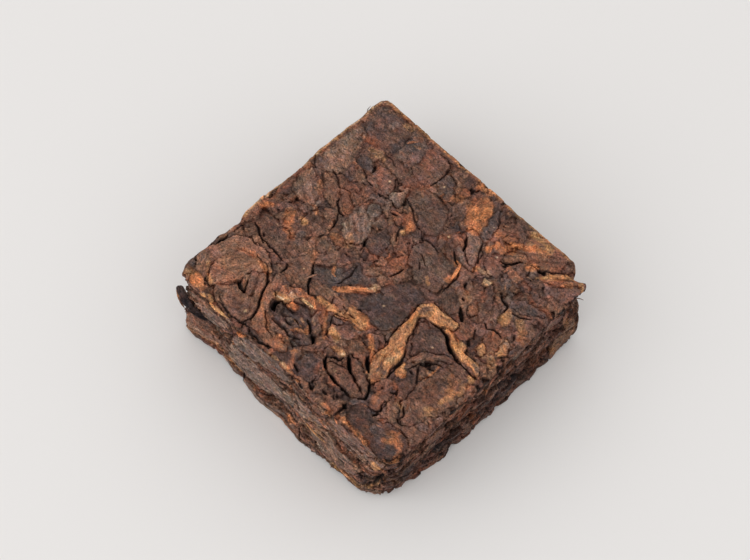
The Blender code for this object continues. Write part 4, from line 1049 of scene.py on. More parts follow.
    "hollowChip": leafOf("gold", "orange", -2.1, -8.5, -1.8, -8.3, -1.5, -8.2, -1.2, -8.2, -1.3, -8.4,
        -1.7, -8.5, level=8.87, shade=0.88),
    "hollowFleck": leafOf("gold", "orange", -2, -8, -1.9, -7.9, -1.5, -8, -1.3, -8.1, -1.4, -8.1,
        level=8.87, shade=0.85),
    "hollowCrumb": leafOf("slate", "ash", -3.2, -8.4, -3.1, -8, -2.7, -7.9, -2.5, -8.3, -2.8, -8.6,
        level=8.86, arch=0.08),
    "hollowGrain": leafOf("slate", "mauve", -2.1, -9.1, -2, -8.7, -1.5, -8.8, -1.4, -9.2, -1.7, -9.4,
        level=8.88, arch=0.08),
    "hollowRim": leafOf("umber", "slate", -4.6, -8.4, -4.8, -8, -4.6, -7.6, -4.2, -7.5, -3.8, -7.8,
        -3.7, -8.3, -4, -8.5, level=8.9),
    # its soot colour is painted shade in the hole
    "curlHole": leafOf("soot", "soot", -4.5, -8.3, -4.7, -8.1, -4.6, -7.9, -4.4, -7.7, -4.3, -7.8, -4.4, -8,
        -4.2, -8.3, -4.2, -8.5, level=8.2, crack=0.0, ragged=0.03, shade=0.5),
    "curlBead": leafOf("slate", "umber", -4.3, -8.2, -4.3, -8, -4, -7.9, -3.8, -8, -3.7, -8.3, -3.9, -8.4,
        level=8.8, arch=0.2, ragged=0.05),
    "slateChip": leafOf("slate", "umber", -0.7, -5.8, -0.6, -5.4, 0, -5.2, 0.4, -5.4, 0.1, -5.9, -0.3, -6,
        level=8.95),
    "greyPlate": leafOf("umber", "slate", 0.3, -10.5, 0.3, -9.7, 0.9, -8.7, 1.7, -8.7, 2.3, -9.3,
        2.3, -10.7, 1.3, -10.9, fibre=0.02, level=8.94),
    "pinkGrain": leafOf("brown", "mauve", -3.9, -4.2, -2.4, -4, -1.2, -4.1, -0.3, -4.7, -1.4, -5.1,
        -2.6, -5.4, -3.5, -5.4, -3.8, -4.9, shade=0.92),
    "orangeStrip": leafOf("orange", "brown", -2.5, -5.1, -1, -4.8, 0.8, -4.85, 2, -4.8, 1, -5.1, -0.4, -5.3,
        -2, -5.5, fibre=0.06),
    "orangePatch": leafOf("orange", "gold", -0.3, -3.8, 0.4, -3.6, 1.2, -3.7, 2, -4, 1.9, -4.6, 0.8, -4.7,
        -0.2, -4.6, shade=0.95),
    "slateFlank": leafOf("slate", "dark", -2.6, -0.8, -1.6, -1.2, -0.7, -0.6, -0.2, -0.9, -0.5, -1.6,
        -1.3, -2.2, -2, -3, -2.6, -2.6, shade=0.92, level=8.92),
    "slateBelow": leafOf("dark", "slate", -1.3, -3.5, -0.6, -2.7, 0.1, -2, 0.5, -1.2, 1.1, -2.4, 0.7, -3.6,
        -0.4, -3.7, shade=0.95, level=8.9),
    "orangeLeaf": leafOf("orange", "brown", -2.1, -3.7, -1.9, -3.2, -1.3, -2.5, -0.5, -1.9, -0.15, -1.2,
        0.1, -1.2, 0, -1.9, -0.7, -2.6, -1.4, -3.4, -1.8, -3.8, grain=50, level=9.02, ragged=0.1,
        shade=1.07),
    "dullLeaf": leafOf("umber", "rust", 1.9, -5.6, 3, -5.3, 3.9, -5.9, 4.5, -6.9, 3.4, -6.9, 2.2, -6.7,
        fibre=0.02, level=8.87),
    "fingerUpper": leafOf("umber", "mauve", 2.7, -7, 3.6, -6.9, 4.8, -7.3, 5.8, -7.9, 6.1, -8.8, 5.8, -9.2,
        5.2, -8.5, 4.3, -8.1, 3.6, -8, 3, -7.4, arch=0.32, grain=-25, level=8.9, shade=0.88, crack=0.45,
        crackLength=6.0),
    "fingerLower": leafOf("umber", "mauve", 1.9, -8.4, 3, -8.1, 4.4, -8.2, 5.5, -8.6, 5.6, -9.2, 4.6, -9.5,
        3.2, -9.4, 2.2, -9.1, arch=0.32, level=8.92, shade=0.88, crack=0.45, crackLength=6.0),
    "frontLeaf": leafOf("dark", "slate", 0.4, -9, 1.6, -9.2, 2.2, -10.2, 2, -11, 0.5, -10.9, 0.2, -10,
        fibre=0.02, shade=0.9),
    "cornerSlab": leafOf("dark", "umber", 6.2, -9.2, 7.6, -9.4, 9.4, -8.8, 11, -9, 11.3, -10.4, 10.8, -11.3,
        8.8, -11.3, 6.4, -11.2, 6, -10.2, fibre=0.02, mix=0.8, shade=0.64),
    "brownScrap": leafOf("umber", "rust", 6.4, -7.3, 7.2, -7, 7.5, -8, 7.4, -8.9, 6.6, -9, 6.3, -8.2,
        shade=0.92),
    "roundLump": leafOf("dark", "umber", 4.4, -0.9, 5.4, -0.5, 6.8, -0.4, 7.6, -0.9, 8, -1.4, 7.3, -2.2,
        6.6, -2.7, 5.9, -3.4, 5.2, -2.8, 4.8, -1.9, arch=0.2, level=8.9),
    "stem": leafOf("umber", "mauve", 6.1, -4.2, 6.5, -3.3, 7.1, -2.5, 8.1, -1.8, 9.2, -1.5, widths=(0.35,
        0.5, 0.55, 0.5, 0.35), level=9.0, arch=0.15),
    "rightSlab": leafOf("umber", "brown", 8.6, -1.5, 9.8, -1.3, 10.9, -1.6, 11.2, -3, 11.1, -5, 10.6, -7,
        9.6, -8.4, 8.5, -7.3, 8.1, -5.4, 8.3, -3.4, level=8.97, mix=0.8, shade=0.74),
    "creamChip": leafOf("cream", "gold", 5.3, 5.65, 5.65, 5.6, 6.1, 5.8, 5.95, 5.2, 5.55, 5.05, level=9.05,
        ragged=0.05, arch=0.05, cover=1.0, shade=0.8),
    "orangeWedge": leafOf("orange", "gold", 5.9, -5.4, 5.9, -4.8, 6, -4.4, 6.4, -4.5, 6.8, -4.7, 7.1, -5.2,
        6.6, -5.5, 6.3, -5.6, level=9.0, grain=80, fibre=0.16, shade=0.95, ragged=0.16, crack=0.0),
    "goldTail": leafOf("gold", "orange", 6.1, 0.1, 6.6, 0.5, 7.3, 0.3, 8, 0.3, 8.6, 0.2, 8.8, -0.3,
        9.5, -0.4, 10.2, -0.3, 10.6, -0.6, 10.8, -1.1, 10, -1, 9, -1, 8.2, -0.9, 7.5, -0.6, 6.9, -0.2,
        6.4, -0.1, level=9.06, ragged=0.05, crack=0.2, fibre=0.1, grain=-35, arch=0.08, mix=0.5,
        shade=1.04),
    "goldRight": leafOf("gold", "orange", 3.5, -0.4, 3.4, 0, 3.6, 0.4, 4.2, 1, 4.8, 1, 5.5, 1, 6.3, 1.1,
        6.8, 1.1, 6.9, 0.5, 6.2, 0.2, 5.8, -0.1, 5.2, -0.3, 4.5, -0.4, 4, -0.8, level=9.1, ragged=0.06,
        crack=0.25, fibre=0.1, grain=-20, mix=0.45, arch=0.06, shade=1.08),
    "goldDown": leafOf("gold", "orange", 5.4, -7.5, 4.7, -7, 4.3, -6.3, 4, -5.5, 4.1, -4.4, 3.8, -3.4,
        3.7, -2.6, 3.7, -1.7, 3.6, -0.8, 3.5, -0.1, 3.9, 0, 4.1, -0.6, 4.4, -1.3, 4.7, -2, 4.8, -2.6,
        5.3, -3.4, 5.6, -4, 5.7, -4.5, 5.7, -5.5, 6, -6.2, 5.8, -7, level=9.08, ragged=0.06, crack=0.3,
        fibre=0.1, grain=-72, mix=0.45, arch=0.05, shade=0.87),
}

topCracks = [                   # width, depth, and its points
    (0.12, 0.3, -8.4, -6.1, -7.6, -6.2, -6.8, -6.5), (0.24, 0.5, -6.9, -6.5, -6.4, -7, -6.2, -7.4),
    (0.22, 0.6, -6.2, -7, -5.9, -8.1, -5.6, -8.8, -5.1, -9.4, -4.95, -10.4, -5.2, -11.2),
    (0.12, 0.2, -7.9, -9, -8.1, -9.5, -8.7, -10), (0.16, 0.3, -8, -10.8, -7.1, -11.1, -6.1, -11.2),
    (0.2, 0.5, 11.6, 9.5, 11.6, 8.5, 11.7, 7.4), (0.4, 0.5, 11.1, 7.3, 11.3, 7.4),
    (0.1, 0.2, 8.3, 9.5, 8.8, 10, 9.4, 10.3), (0.2, 0.5, -6.4, -5, -6.15, -5.3, -6.1, -5.8),
    (0.16, 0.25, -3.4, 10.7, -3.3, 9.9, -3.4, 9.2, -3.5, 8.6),
    (0.16, 0.15, -2.7, 10.4, -1.9, 9.9, -1.4, 9.2), (0.15, 0.3, -3.9, 6.2, -3, 5.9, -1.9, 5.2),
    (0.25, 0.5, -3.9, 4.5, -3.4, 4.6), (0.25, 0.4, -2.3, 3.8, -2.1, 3.3, -1.9, 2.9),
    (0.18, 0.3, -0.9, 4.8, -0.5, 4.5, -0.2, 4.7), (0.18, 0.3, -5.8, 6.9, -5.4, 6.5, -5.1, 6),
    (0.35, 0.5, -7.75, 6.6, -7.6, 6), (0.2, 0.35, -8.3, 5.6, -7.8, 5.5, -7.5, 5.2),
    (0.2, 0.4, -5.8, 5, -5.5, 4.8), (0.3, 0.35, -9.9, 3.8, -9.2, 3.5, -8.4, 3),
    (0.35, 0.5, -7.7, 2.2, -7.1, 1.55, -6.4, 1.4), (0.15, 0.4, -6.7, 1.2, -6.4, 0.6, -6.3, -0.3),
    (0.2, 0.3, -3.6, 1.4, -3.4, 0.8, -3.2, 0.2), (0.2, 0.4, 0, 0.3, 0.15, 0.9, 0.3, 1.5),
    (0.15, 0.3, -11.9, 3.8, -11.4, 3.2, -11, 2.9), (0.16, 0.15, -7.8, 10.4, -7.6, 9.8),
    (0.2, 0.2, -8, 7.9, -7.2, 8, -6.6, 7.7), (0.2, 0.2, 2.15, 11, 2.4, 10.4, 2.8, 9.9),
    (0.35, 0.7, 1.85, 7.3, 2.15, 6.7, 2.5, 6.2), (0.15, 0.4, 3.1, 7.6, 3.4, 6.9, 3.95, 6.2),
    (0.25, 0.5, 2, 5.6, 2.5, 5.2, 3.1, 4.85), (0.2, 0.45, 3.4, 4.8, 3.7, 4, 3.75, 3.3, 3.85, 2.4),
    (0.12, 0.3, -0.3, 4.5, 0.3, 4.7, 1.3, 4.6), (0.14, 0.3, 0.4, 3.4, 0.9, 3.2, 1.3, 3),
    (0.12, 0.3, 0.8, 2.8, 1.2, 2.4), (0.25, 0.35, 7.5, 8.6, 7.6, 8.2), (0.15, 0.25, 9.2, 10.5, 9.7, 10.4),
    (0.3, 0.5, 7.2, 5.6, 7.7, 5.2, 8.3, 5.1, 8.5, 4.6), (0.22, 0.4, 9.1, 5, 9.8, 5.1, 10.3, 5.6),
    (0.2, 0.5, 8.1, 2.7, 8.6, 2.45, 9.1, 2.85, 9.9, 2.75), (0.55, 0.7, 5.85, 2.4, 6.2, 2, 6.7, 1.55),
    (0.3, 0.5, 5.3, 3.15, 5.5, 3), (0.35, 0.5, 8.2, 0.7, 8.6, 0.4), (0.15, 0.35, 8, 1.8, 8.4, 1.2),
    (0.35, 0.5, 11.1, 7.3, 11.4, 7.1), (0.2, 0.4, 11.45, 9.6, 11.55, 8.6, 11.5, 7.6),
    (0.25, 0.4, 10.4, 3.6, 10.6, 3.3), (0.26, 0.7, -4.9, -3.3, -4.3, -4.3, -3.75, -5.2, -3.2, -5.6),
    (0.18, 0.4, -4.8, -6.1, -4.2, -5.7), (0.3, 0.5, -10.7, -4.1, -9.8, -4.6, -9.1, -5),
    (0.2, 0.45, -9.2, -4.7, -8.1, -4.85, -6.8, -5.05), (0.35, 0.6, -5, -10.95, -3.8, -11.25, -2.1, -11.1),
    (0.2, 0.4, -7.6, -11.2, -6.6, -11.35, -5.2, -11.2), (0.22, 0.5, -4.7, -7.8, -4.6, -8.2, -4.2, -8.5),
    (0.2, 0.3, -2.5, -1, -2.2, -2, -2.4, -3.2), (0.14, 0.35, -0.6, -5.6, -0.1, -6.6, 0.2, -7.3),
    (0.14, 0.35, -1, -7.6, -0.4, -8, 0.1, -8.3), (0.12, 0.3, -4.6, -9, -3.6, -9.9, -2.6, -10.2),
    (0.14, 0.3, -1.7, -4.3, -1.4, -4.8), (0.12, 0.3, 0.1, -4.45, 0.7, -4.45),
    (0.3, 0.35, -1, -8.8, -1.9, -9.2, -2.6, -9), (0.12, 0.2, 4.1, -0.75, 4.6, -0.65),
    (0.34, 0.7, 5.4, -0.3, 6.4, -0.2, 7.2, -0.5, 7.8, -0.9, 8.7, -1.2),
    (0.2, 0.5, 8.6, -1.2, 9.7, -1.2, 10.9, -1.3), (0.16, 0.4, 6.6, -4.5, 6.9, -3.6, 7.8, -2.7, 8.4, -2.5),
    (0.3, 0.5, 3.7, -6.2, 4.3, -6.6), (0.3, 0.4, 7.1, -3.6, 7.5, -4.3, 7.9, -4.9),
    (0.18, 0.4, 5.4, -3.6, 5.8, -4.2, 5.9, -5.6), (0.45, 0.8, 3.75, -6, 4.2, -6.6, 4.7, -6.95),
    (0.14, 0.3, 2, -5.2, 3, -5.4), (0.28, 0.6, 2.9, -7.1, 3.3, -7.7, 3.9, -8),
    (0.2, 0.3, 5.1, -8.3, 5.3, -8.7), (0.2, 0.4, 7.4, -6.4, 7.6, -6.8), (0.4, 0.6, 5.2, -10.3, 5.7, -10.3),
    (0.3, 0.4, 3.3, -10.65, 3.8, -10.6), (0.3, 0.4, 5.5, -11, 5.5, -11.4),
    (0.35, 0.5, 2.3, -10.6, 2.8, -11.2), (0.15, 0.3, 3.8, -9.9, 4.5, -10.5),
    (0.25, 0.4, 7.2, -4.5, 6.9, -4.5), (0.25, 0.4, 0, -11.6, 1.4, -11.5, 2.2, -11.6),
    (0.16, 0.4, -4.3, -8.4, -4.6, -8.2, -4.6, -7.8, -4.4, -7.6),
    (0.28, 0.6, 1.5, -8.4, 1.8, -8.8, 2.2, -9.1), (0.2, 0.5, 1.6, -8.3, 2.1, -8, 2.5, -7.8),
    (0.32, 0.7, 2.7, -7.1, 3.2, -7.5, 3.7, -7.9), (0.24, 0.6, 2.7, -9.2, 3.1, -9.3, 3.6, -9.4),
    (0.12, 0.4, -0.6, -5.4, 0, -5.3, 0.4, -5), (0.15, 0.4, 0.3, -10.7, 0.8, -10.9),
    (0.2, 0.4, -0.3, -7.9, 0, -8.3), (0.24, 0.6, 3, -9.3, 3.5, -9.3, 4, -9.4, 4.9, -9.4),
    (0.3, 0.7, 5.8, -9.2, 6.1, -8.7, 5.9, -8.1, 5.6, -7.7, 5.2, -7.4), (0.18, 0.4, 3.7, -8, 4.6, -8.1),
    (0.4, 0.6, 5.5, -11.1, 5.4, -10.5, 5.4, -10.1), (0.22, 0.5, 7.2, -8.9, 7.6, -8.6, 7.3, -7.7),
    (0.2, 0.5, 7.2, -7, 7.5, -6.8), (0.2, 0.5, 8.7, -7.2, 9.1, -7.6, 9.2, -7.9),
    (0.15, 0.4, 9, -8.2, 9.5, -8.3), (0.1, 0.3, 9.9, -8.6, 10.3, -8.7, 10.7, -8.7),
    (0.16, 0.4, 10.6, -11.4, 11.1, -10.8, 11.2, -10.1), (0.26, 0.5, 5.2, 7.6, 5.8, 8, 6.3, 8.8),
    (0.3, 0.4, 5.6, 7.5, 5.9, 7.7), (0.12, 0.3, 7.5, 9.2, 8.4, 9.7, 9.6, 10.6),
    (0.26, 0.6, -11.8, -0.8, -11.7, -1.4, -11.6, -1.8), (0.14, 0.4, -11.4, -4.7, -11.3, -5.3, -11.3, -5.9),
    (0.25, 0.4, -9.7, -4.3, -9.4, -4.5), (0.34, 0.9, 1.5, -8.3, 1.8, -8.8, 2.2, -9.1),
    (0.4, 0.9, 2.7, -7.1, 3.2, -7.5, 3.7, -7.9), (0.28, 0.7, 2.7, -9.2, 3.1, -9.3, 3.6, -9.5),
    (0.24, 0.6, 1.6, -8.3, 2, -8, 2.4, -7.8, 2.4, -7.5), (0.16, 0.5, 0, -6.7, 0.2, -7, 0.5, -7.1),
    (0.3, 0.6, -0.4, -7.9, 0, -8.3), (0.3, 0.6, -2.6, -11.1, -2.1, -11), (0.16, 0.4, -0.1, -5.1, 0.4, -4.8),
    (0.18, 0.4, 0.3, -10.7, 0.9, -10.9), (0.14, 0.4, -0.6, -5.2, -0.1, -5.1),
    (0.3, 0.6, 1.3, -11.4, 1.6, -11.4, 2, -11.6), (0.3, 0.7, 2.2, -10.9, 2.8, -11.2),
    (0.3, 0.6, -3.7, -11.3, -3.3, -11.3), (0.34, 0.7, -11.8, -0.7, -11.8, -1.2, -11.6, -1.8),
    (0.3, 0.6, -11.5, -6.6, -11.5, -7.1, -11.6, -7.8), (0.36, 0.9, 6.7, -0.3, 7.4, -0.7, 8.1, -1),
    (0.2, 0.5, 5.7, -4.2, 5.9, -5, 6, -6.1),
    (0.3, 0.9, -4.2, -8.5, -4.5, -8.3, -4.6, -7.9, -4.3, -7.6, -4, -7.5),
    (0.14, 0.5, -3.1, -8.3, -2.7, -8.5, -2.4, -8.4), (0.12, 0.5, -2.5, -7.9, -2.1, -8),
    (0.16, 0.6, -1.8, -7.1, -1.2, -7.5, -0.8, -7.9), (0.2, 0.7, -0.6, -7.8, -0.1, -8.1),
]

topTones = [                    # colour, strength, width, and its points
    ("slate", 0.6, 0.9, -11, 8.8, -10.9, 8.3), ("slate", 0.65, 0.8, -10.8, 10.4, -10.2, 10.8, -9.5, 11),
    ("mauve", 0.6, 0.5, -10.7, 9.8, -10.3, 9.5), ("ash", 0.55, 0.5, -9.5, 10.2, -9.4, 10.7),
    ("gold", 0.45, 0.5, -8.9, 11.2, -8.3, 11.2), ("rust", 0.55, 0.5, -10.2, 7.8, -9.4, 7.9),
    ("brown", 0.4, 0.9, -9, 9.2, -8.5, 9.4), ("dark", 0.6, 0.6, -8, 10, -7.9, 10.5),
    ("rust", 0.6, 0.4, -7.4, 10.8, -7, 11.1), ("slate", 0.6, 0.9, -8, 9, -6.9, 9.8),
    ("slate", 0.55, 0.9, -6.6, 10.2, -6.4, 11.2), ("gold", 0.5, 0.35, -9.2, 7.3, -8.3, 7.8),
    ("slate", 0.6, 0.9, -9.3, 6.3, -8.4, 6.1), ("ash", 0.6, 0.4, -10.7, 7.3, -10.3, 7.4),
    ("brown", 0.7, 1.1, 4.9, -6.3, 5.5, -6.9), ("dark", 0.6, 1.2, 2.2, -10.8, 3.4, -11),
    ("dark", 0.4, 0.9, 3, -9.2, 4.4, -9.3), ("dark", 0.5, 1, 6, 2.6, 7.2, 2),
    ("umber", 0.4, 0.8, 5.8, 3, 6.2, 3.6), ("dark", 0.4, 1.4, -9.3, -4, -8.4, -3),
    ("slate", 0.45, 1.2, -5.4, -1.8, -4.6, -2.4), ("rust", 0.35, 0.8, -9.6, 0.2, -9, -1),
    ("ash", 0.55, 1.2, -5.6, 2.6, -4.2, 3.1), ("ash", 0.4, 0.9, -5.4, 5, -4.6, 4.9),
    ("ash", 0.45, 0.8, -11.2, 7.6, -11, 6.4), ("dark", 0.4, 1.2, -7.6, 4, -6.6, 3.8),
    ("dark", 0.35, 0.9, -9.2, 1.2, -8.6, 0.8), ("brown", 0.5, 0.8, -9.4, 7, -8.8, 7),
    ("dark", 0.4, 0.8, 10.8, 8.2, 11.1, 7.6), ("orange", 0.3, 0.9, 9.8, -2.6, 10.2, -3.6),
    ("umber", 0.4, 0.9, 9.8, -6, 10.4, -6.4), ("rust", 0.7, 0.7, 5.4, -6.9, 5.5, -7.3),
    ("dark", 0.5, 0.7, 3.8, -6, 4.4, -6.6),
    ("orange", 0.6, 0.45, -9.3, -6.5, -8.6, -6.3, -7.7, -6.4, -6.9, -6.6),
    ("orange", 0.5, 0.4, -9.8, -6.8, -9.4, -6.4), ("rust", 0.7, 0.3, -8, -9, -8.3, -9.6, -8.9, -10.1),
    ("gold", 0.6, 0.35, -10.8, -9.4, -10.2, -10, -9.3, -10.5), ("gold", 0.6, 0.5, 5.8, 10.4, 7, 11),
    ("gold", 0.8, 0.35, 11, 10.9, 11.6, 10.4), ("orange", 0.6, 0.4, 10, 9.5, 10.7, 10.1),
    ("rust", 0.35, 0.5, -11.7, 8, -11.75, 6, -11.7, 0, -11.6, -3.6, -11.4, -6),
    ("gold", 0.95, 0.6, -12, 11.4, -12.1, 5, -12.1, 0, -12, -6),
    ("cream", 0.5, 0.5, -12, 11.4, -12.1, 5, -12.1, 0, -12, -6),
    ("gold", 0.85, 0.5, -11.8, 11.85, -5, 11.85, 2, 11.9, 9, 11.9),
    ("rust", 0.4, 0.6, -11.6, 2.6, -11.5, 0, -11.6, -3.4),
    ("orange", 0.3, 0.3, -11.5, 11.6, -6, 11.6, 0, 11.7), ("orange", 0.8, 0.8, -0.7, 11.4, 0.3, 11.5),
    ("orange", 0.55, 0.8, -1.3, 9.2, -0.9, 9.4), ("orange", 0.9, 0.6, -2, 4.7, -1.8, 4.2),
    ("gold", 0.9, 0.45, -1.95, 3.65), ("mauve", 0.9, 0.4, -2.8, 3.7),
    ("gold", 0.35, 0.7, -8.4, 7.4, -7.9, 7.6), ("rust", 0.4, 0.6, -9.6, 8.2, -9, 7.9),
    ("rust", 0.5, 0.6, -7.4, 6.6, -6.2, 5.5), ("rust", 0.45, 0.8, -5.5, 10.8, -4.6, 9.2),
    ("rust", 0.5, 0.6, -4.4, 7.4, -4, 8.4), ("orange", 0.3, 0.4, -3.8, 7.5, -3.5, 8.4),
    ("rust", 0.5, 0.5, -6.4, 2.4, -6.3, 1.6), ("rust", 0.4, 1.3, -1.2, 3.2, -0.4, 1.6, -1.2, 0.6),
    ("orange", 0.4, 0.4, -9.8, 2.2, -9.1, 1.4), ("orange", 0.45, 0.4, -8.6, 0.3, -8, 0),
    ("orange", 0.5, 0.5, -5.7, -0.5, -5.2, -0.3), ("gold", 0.4, 0.6, -4.8, 0.6, -4.2, -0.2),
    ("orange", 0.75, 1.1, 0.5, 9.2, 1.2, 8.6, 1.8, 8.2), ("orange", 0.6, 0.5, 1.3, 10.3, 1.5, 9.4),
    ("rust", 0.6, 0.8, 0.2, 10.6, 0, 10), ("orange", 0.5, 0.9, 3.5, 9.3, 4.4, 9.4),
    ("orange", 0.75, 1, 4.4, 8.6, 5.2, 9.1), ("orange", 0.85, 0.4, 3.75, 7.9, 3.85, 7.55),
    ("orange", 0.9, 0.55, 4.7, 9.5, 5.4, 9.75, 6.3, 10.4), ("orange", 0.6, 0.6, 6.4, 10.5, 7.3, 10.7),
    ("gold", 0.6, 0.5, 5.5, 11.2, 6.4, 11.4, 7.5, 11.1), ("orange", 0.8, 0.5, 7.2, 8.8, 7.5, 9.3),
    ("gold", 0.7, 0.4, 8.9, 9.3, 9.8, 10.2), ("gold", 0.6, 0.25, 8.2, 8.6, 8.7, 9.1),
    ("gold", 0.6, 0.3, 8.8, 9.5, 9.6, 10.2, 10.4, 10.8), ("slate", 0.75, 0.9, 9.6, 8.3, 10.2, 8.7),
    ("slate", 0.5, 0.8, 9, 7.2, 9.6, 7.4), ("orange", 0.9, 0.5, 4.2, 5.6, 4.4, 5.9),
    ("cream", 0.5, 0.5, 4.6, 5.8, 5.2, 6.1), ("slate", 0.6, 0.5, 5.7, 5.9, 5.2, 5.7),
    ("orange", 0.8, 0.4, 2.7, 5, 2.9, 4.8), ("orange", 0.8, 0.5, 3.35, 4.4, 3.6, 3.9, 3.4, 3.4),
    ("rust", 0.7, 0.5, 9, 6.9, 9.7, 6.7), ("gold", 0.5, 0.8, 8.7, 4.6, 9.1, 3.9),
    ("gold", 0.5, 0.7, 10.1, 4.6, 10.6, 4.1), ("orange", 0.4, 0.5, 10.9, 3.6, 10.9, 4.4),
    ("gold", 0.5, 0.6, 10.4, 2.7, 10.7, 1.6), ("gold", 0.5, 0.7, 10.3, 1, 10.9, 0.4),
    ("gold", 0.6, 0.6, 9.4, 1, 9.9, 0.5), ("mauve", 0.8, 0.4, 8.2, 3.8, 8.4, 3.1),
    ("gold", 0.7, 0.35, 2.1, 2.3, 2.6, 2), ("rust", 0.6, 0.5, 1.2, 6.9, 1.5, 6.5),
    ("rust", 0.5, 0.5, 0.3, 5.7, 0.8, 6.1), ("rust", 0.5, 0.5, 6.2, 4.6, 6.6, 4.1),
    ("mauve", 0.6, 0.6, 8.3, 2.3, 8.9, 1.6), ("gold", 0.35, 0.5, 5.2, 3.6, 5.9, 3.4),
    ("orange", 0.6, 0.7, -9.6, -1.4, -8.8, -2.4, -8, -3), ("gold", 0.9, 0.5, -8.5, -1.2, -8.1, -1.3),
    ("mauve", 0.6, 0.7, -9.7, -0.7, -8.8, -0.6), ("slate", 0.7, 0.8, -7.5, -2.4, -7.1, -2.8),
    ("rust", 0.4, 0.7, -6.6, -1.5, -6, -2), ("orange", 0.35, 0.5, -5.6, -2.6, -5.1, -3.3),
    ("soot", 0.6, 0.5, -6.2, -4.2, -5.6, -4.4), ("orange", 0.8, 0.25, -3.6, -2.3, -3.3, -2.8, -3, -2.9),
    ("brown", 0.3, 0.9, -10.2, -5.6, -10.4, -7.6),
    ("brown", 0.6, 0.9, -11.3, -5.6, -10.4, -5.2, -9.4, -5.3), ("brown", 0.6, 0.8, -6.4, -5.6, -5.6, -6),
    ("gold", 0.7, 0.7, -11.1, -11, -11.6, -11.4), ("orange", 0.6, 0.8, -10.6, -10.9, -9.7, -11.1),
    ("gold", 0.7, 0.4, -8.6, -11.3, -8.2, -11.4),
    ("orange", 0.4, 0.3, -5.9, -8.4, -5, -9, -4.2, -9.5, -3.3, -10),
    ("orange", 0.4, 0.6, -2.2, -9.9, -1.7, -10.3), ("orange", 0.4, 0.5, -0.4, -10, 0.2, -11),
    ("slate", 0.5, 0.5, -4.6, -6.6, -4, -6.2), ("orange", 0.7, 0.5, -2.2, -5.2, -0.8, -5),
    ("gold", 0.5, 0.6, 0.1, -4.1, 1.6, -4.2), ("cream", 0.6, 0.4, -0.1, -1.3, 0.1, -1.5),
    ("orange", 0.45, 0.4, 0, -6.1, 0.3, -7.2), ("gold", 0.7, 0.7, 0.4, -6.5, 0.8, -6.8),
    ("gold", 0.6, 0.4, 1.5, -7.4, 2.3, -7.3), ("orange", 0.7, 0.4, 2.6, -4.7, 3.4, -5.2, 4.1, -5.9),
    ("mauve", 0.5, 0.6, 2.5, -4.3, 3.6, -4.5), ("soot", 0.5, 0.4, 4, 0.2, 4.4, -0.2, 4.6, 0.3),
    ("rust", 0.6, 0.3, 4.4, -1.2, 4.8, -1.8), ("orange", 0.6, 0.6, 5.3, -6.3, 5.5, -6.9),
    ("gold", 0.9, 0.5, 10.5, -1.4, 10.8, -1.6), ("gold", 0.5, 0.6, 10.8, -2.4, 10.9, -3),
    ("gold", 0.6, 0.5, 10.2, -3.6, 10.6, -3.4), ("gold", 0.6, 0.5, 10.6, -4, 10.5, -4.7),
    ("gold", 0.35, 0.7, 10.2, -6, 10.5, -5.6), ("gold", 0.5, 0.3, 8.1, -7.1, 8.7, -7.3),
    ("orange", 0.35, 0.5, 6.5, -7.6, 6.8, -8.4), ("orange", 0.6, 0.4, 6.2, -11.2, 7.6, -11.2, 8.8, -11.3),
    ("orange", 0.6, 0.35, 11.1, -10, 11.2, -11), ("orange", 0.55, 0.4, 4.2, -11.4, 5.2, -11.5),
    ("orange", 0.4, 0.4, -0.4, -11.4, 1.6, -11.4), ("rust", 0.6, 0.4, 1.6, -9.3, 1.9, -9.9),
    ("slate", 0.8, 0.5, 3.9, -0.3, 4.3, 0.5), ("dark", 0.7, 0.22, 5.3, 0.6, 5.9, 0.7),
    ("slate", 0.6, 0.3, 3.9, -2, 4.3, -2), ("dark", 0.5, 0.22, 3.9, -3.5, 4.1, -3.5),
    ("slate", 0.85, 0.45, 5.2, -6.3, 5.6, -6.2), ("rust", 0.9, 0.45, 5.2, -7, 5.6, -6.9),
    ("slate", 0.85, 0.5, 10.1, -0.6, 10.6, -0.8), ("gold", 0.9, 0.4, 10.5, -1.5, 10.8, -1.4),
    ("orange", 0.8, 0.18, 8.2, -2.5, 8.2, -3.3, 8.2, -4.2),
    ("orange", 0.8, 0.4, 2.6, -4.6, 3.3, -5.2, 3.6, -5.5), ("cream", 0.3, 0.3, 5.1, -5.5, 5.3, -4.5),
    ("rust", 0.5, 0.2, 6.9, 0.2, 7.9, 0), ("orange", 0.6, 0.25, 3.9, -1.6, 3.7, -0.8),
    ("orange", 0.6, 0.2, 4.7, -7.1, 4.1, -5.9, 4, -4.6),
    ("gold", 0.9, 0.45, -5, -7.5, -4.5, -7.4, -4, -7.1), ("cream", 0.7, 0.3, -4.8, -7.6, -4.1, -7.2),
    ("cream", 0.5, 0.35, -4.2, -6.7, -3.6, -6.6), ("orange", 0.5, 0.5, -3.7, -7.4, -3.1, -7.1),
    ("cream", 0.9, 0.28, -3.3, -6.3, -2.7, -6.2, -2.2, -6.2), ("orange", 0.6, 0.3, -1.4, -7.4, -1, -8.1),
    ("gold", 0.75, 0.5, -2.4, -5.4, -1.5, -5.1, -0.7, -5.1, 0.1, -4.7),
    ("gold", 0.7, 0.5, 0.1, -4.7, 0.9, -4.6, 1.8, -4.5), ("orange", 0.5, 0.35, -1.3, -5.6, 0.3, -7.4),
    ("gold", 0.7, 0.6, 0.1, -6.5, 0.9, -6.6), ("gold", 0.5, 0.4, 1.2, -7.6, 2.2, -7.3),
    ("orange", 0.4, 0.3, -2.4, -9.8, -1.7, -9.5), ("cream", 0.35, 0.2, -0.5, -11.3, 0, -11.3),
    ("gold", 0.4, 0.2, -2.1, -11.5, -0.2, -11.3, 1.4, -11.6), ("brown", 0.5, 0.5, -1.4, -8.5, -0.1, -8.4),
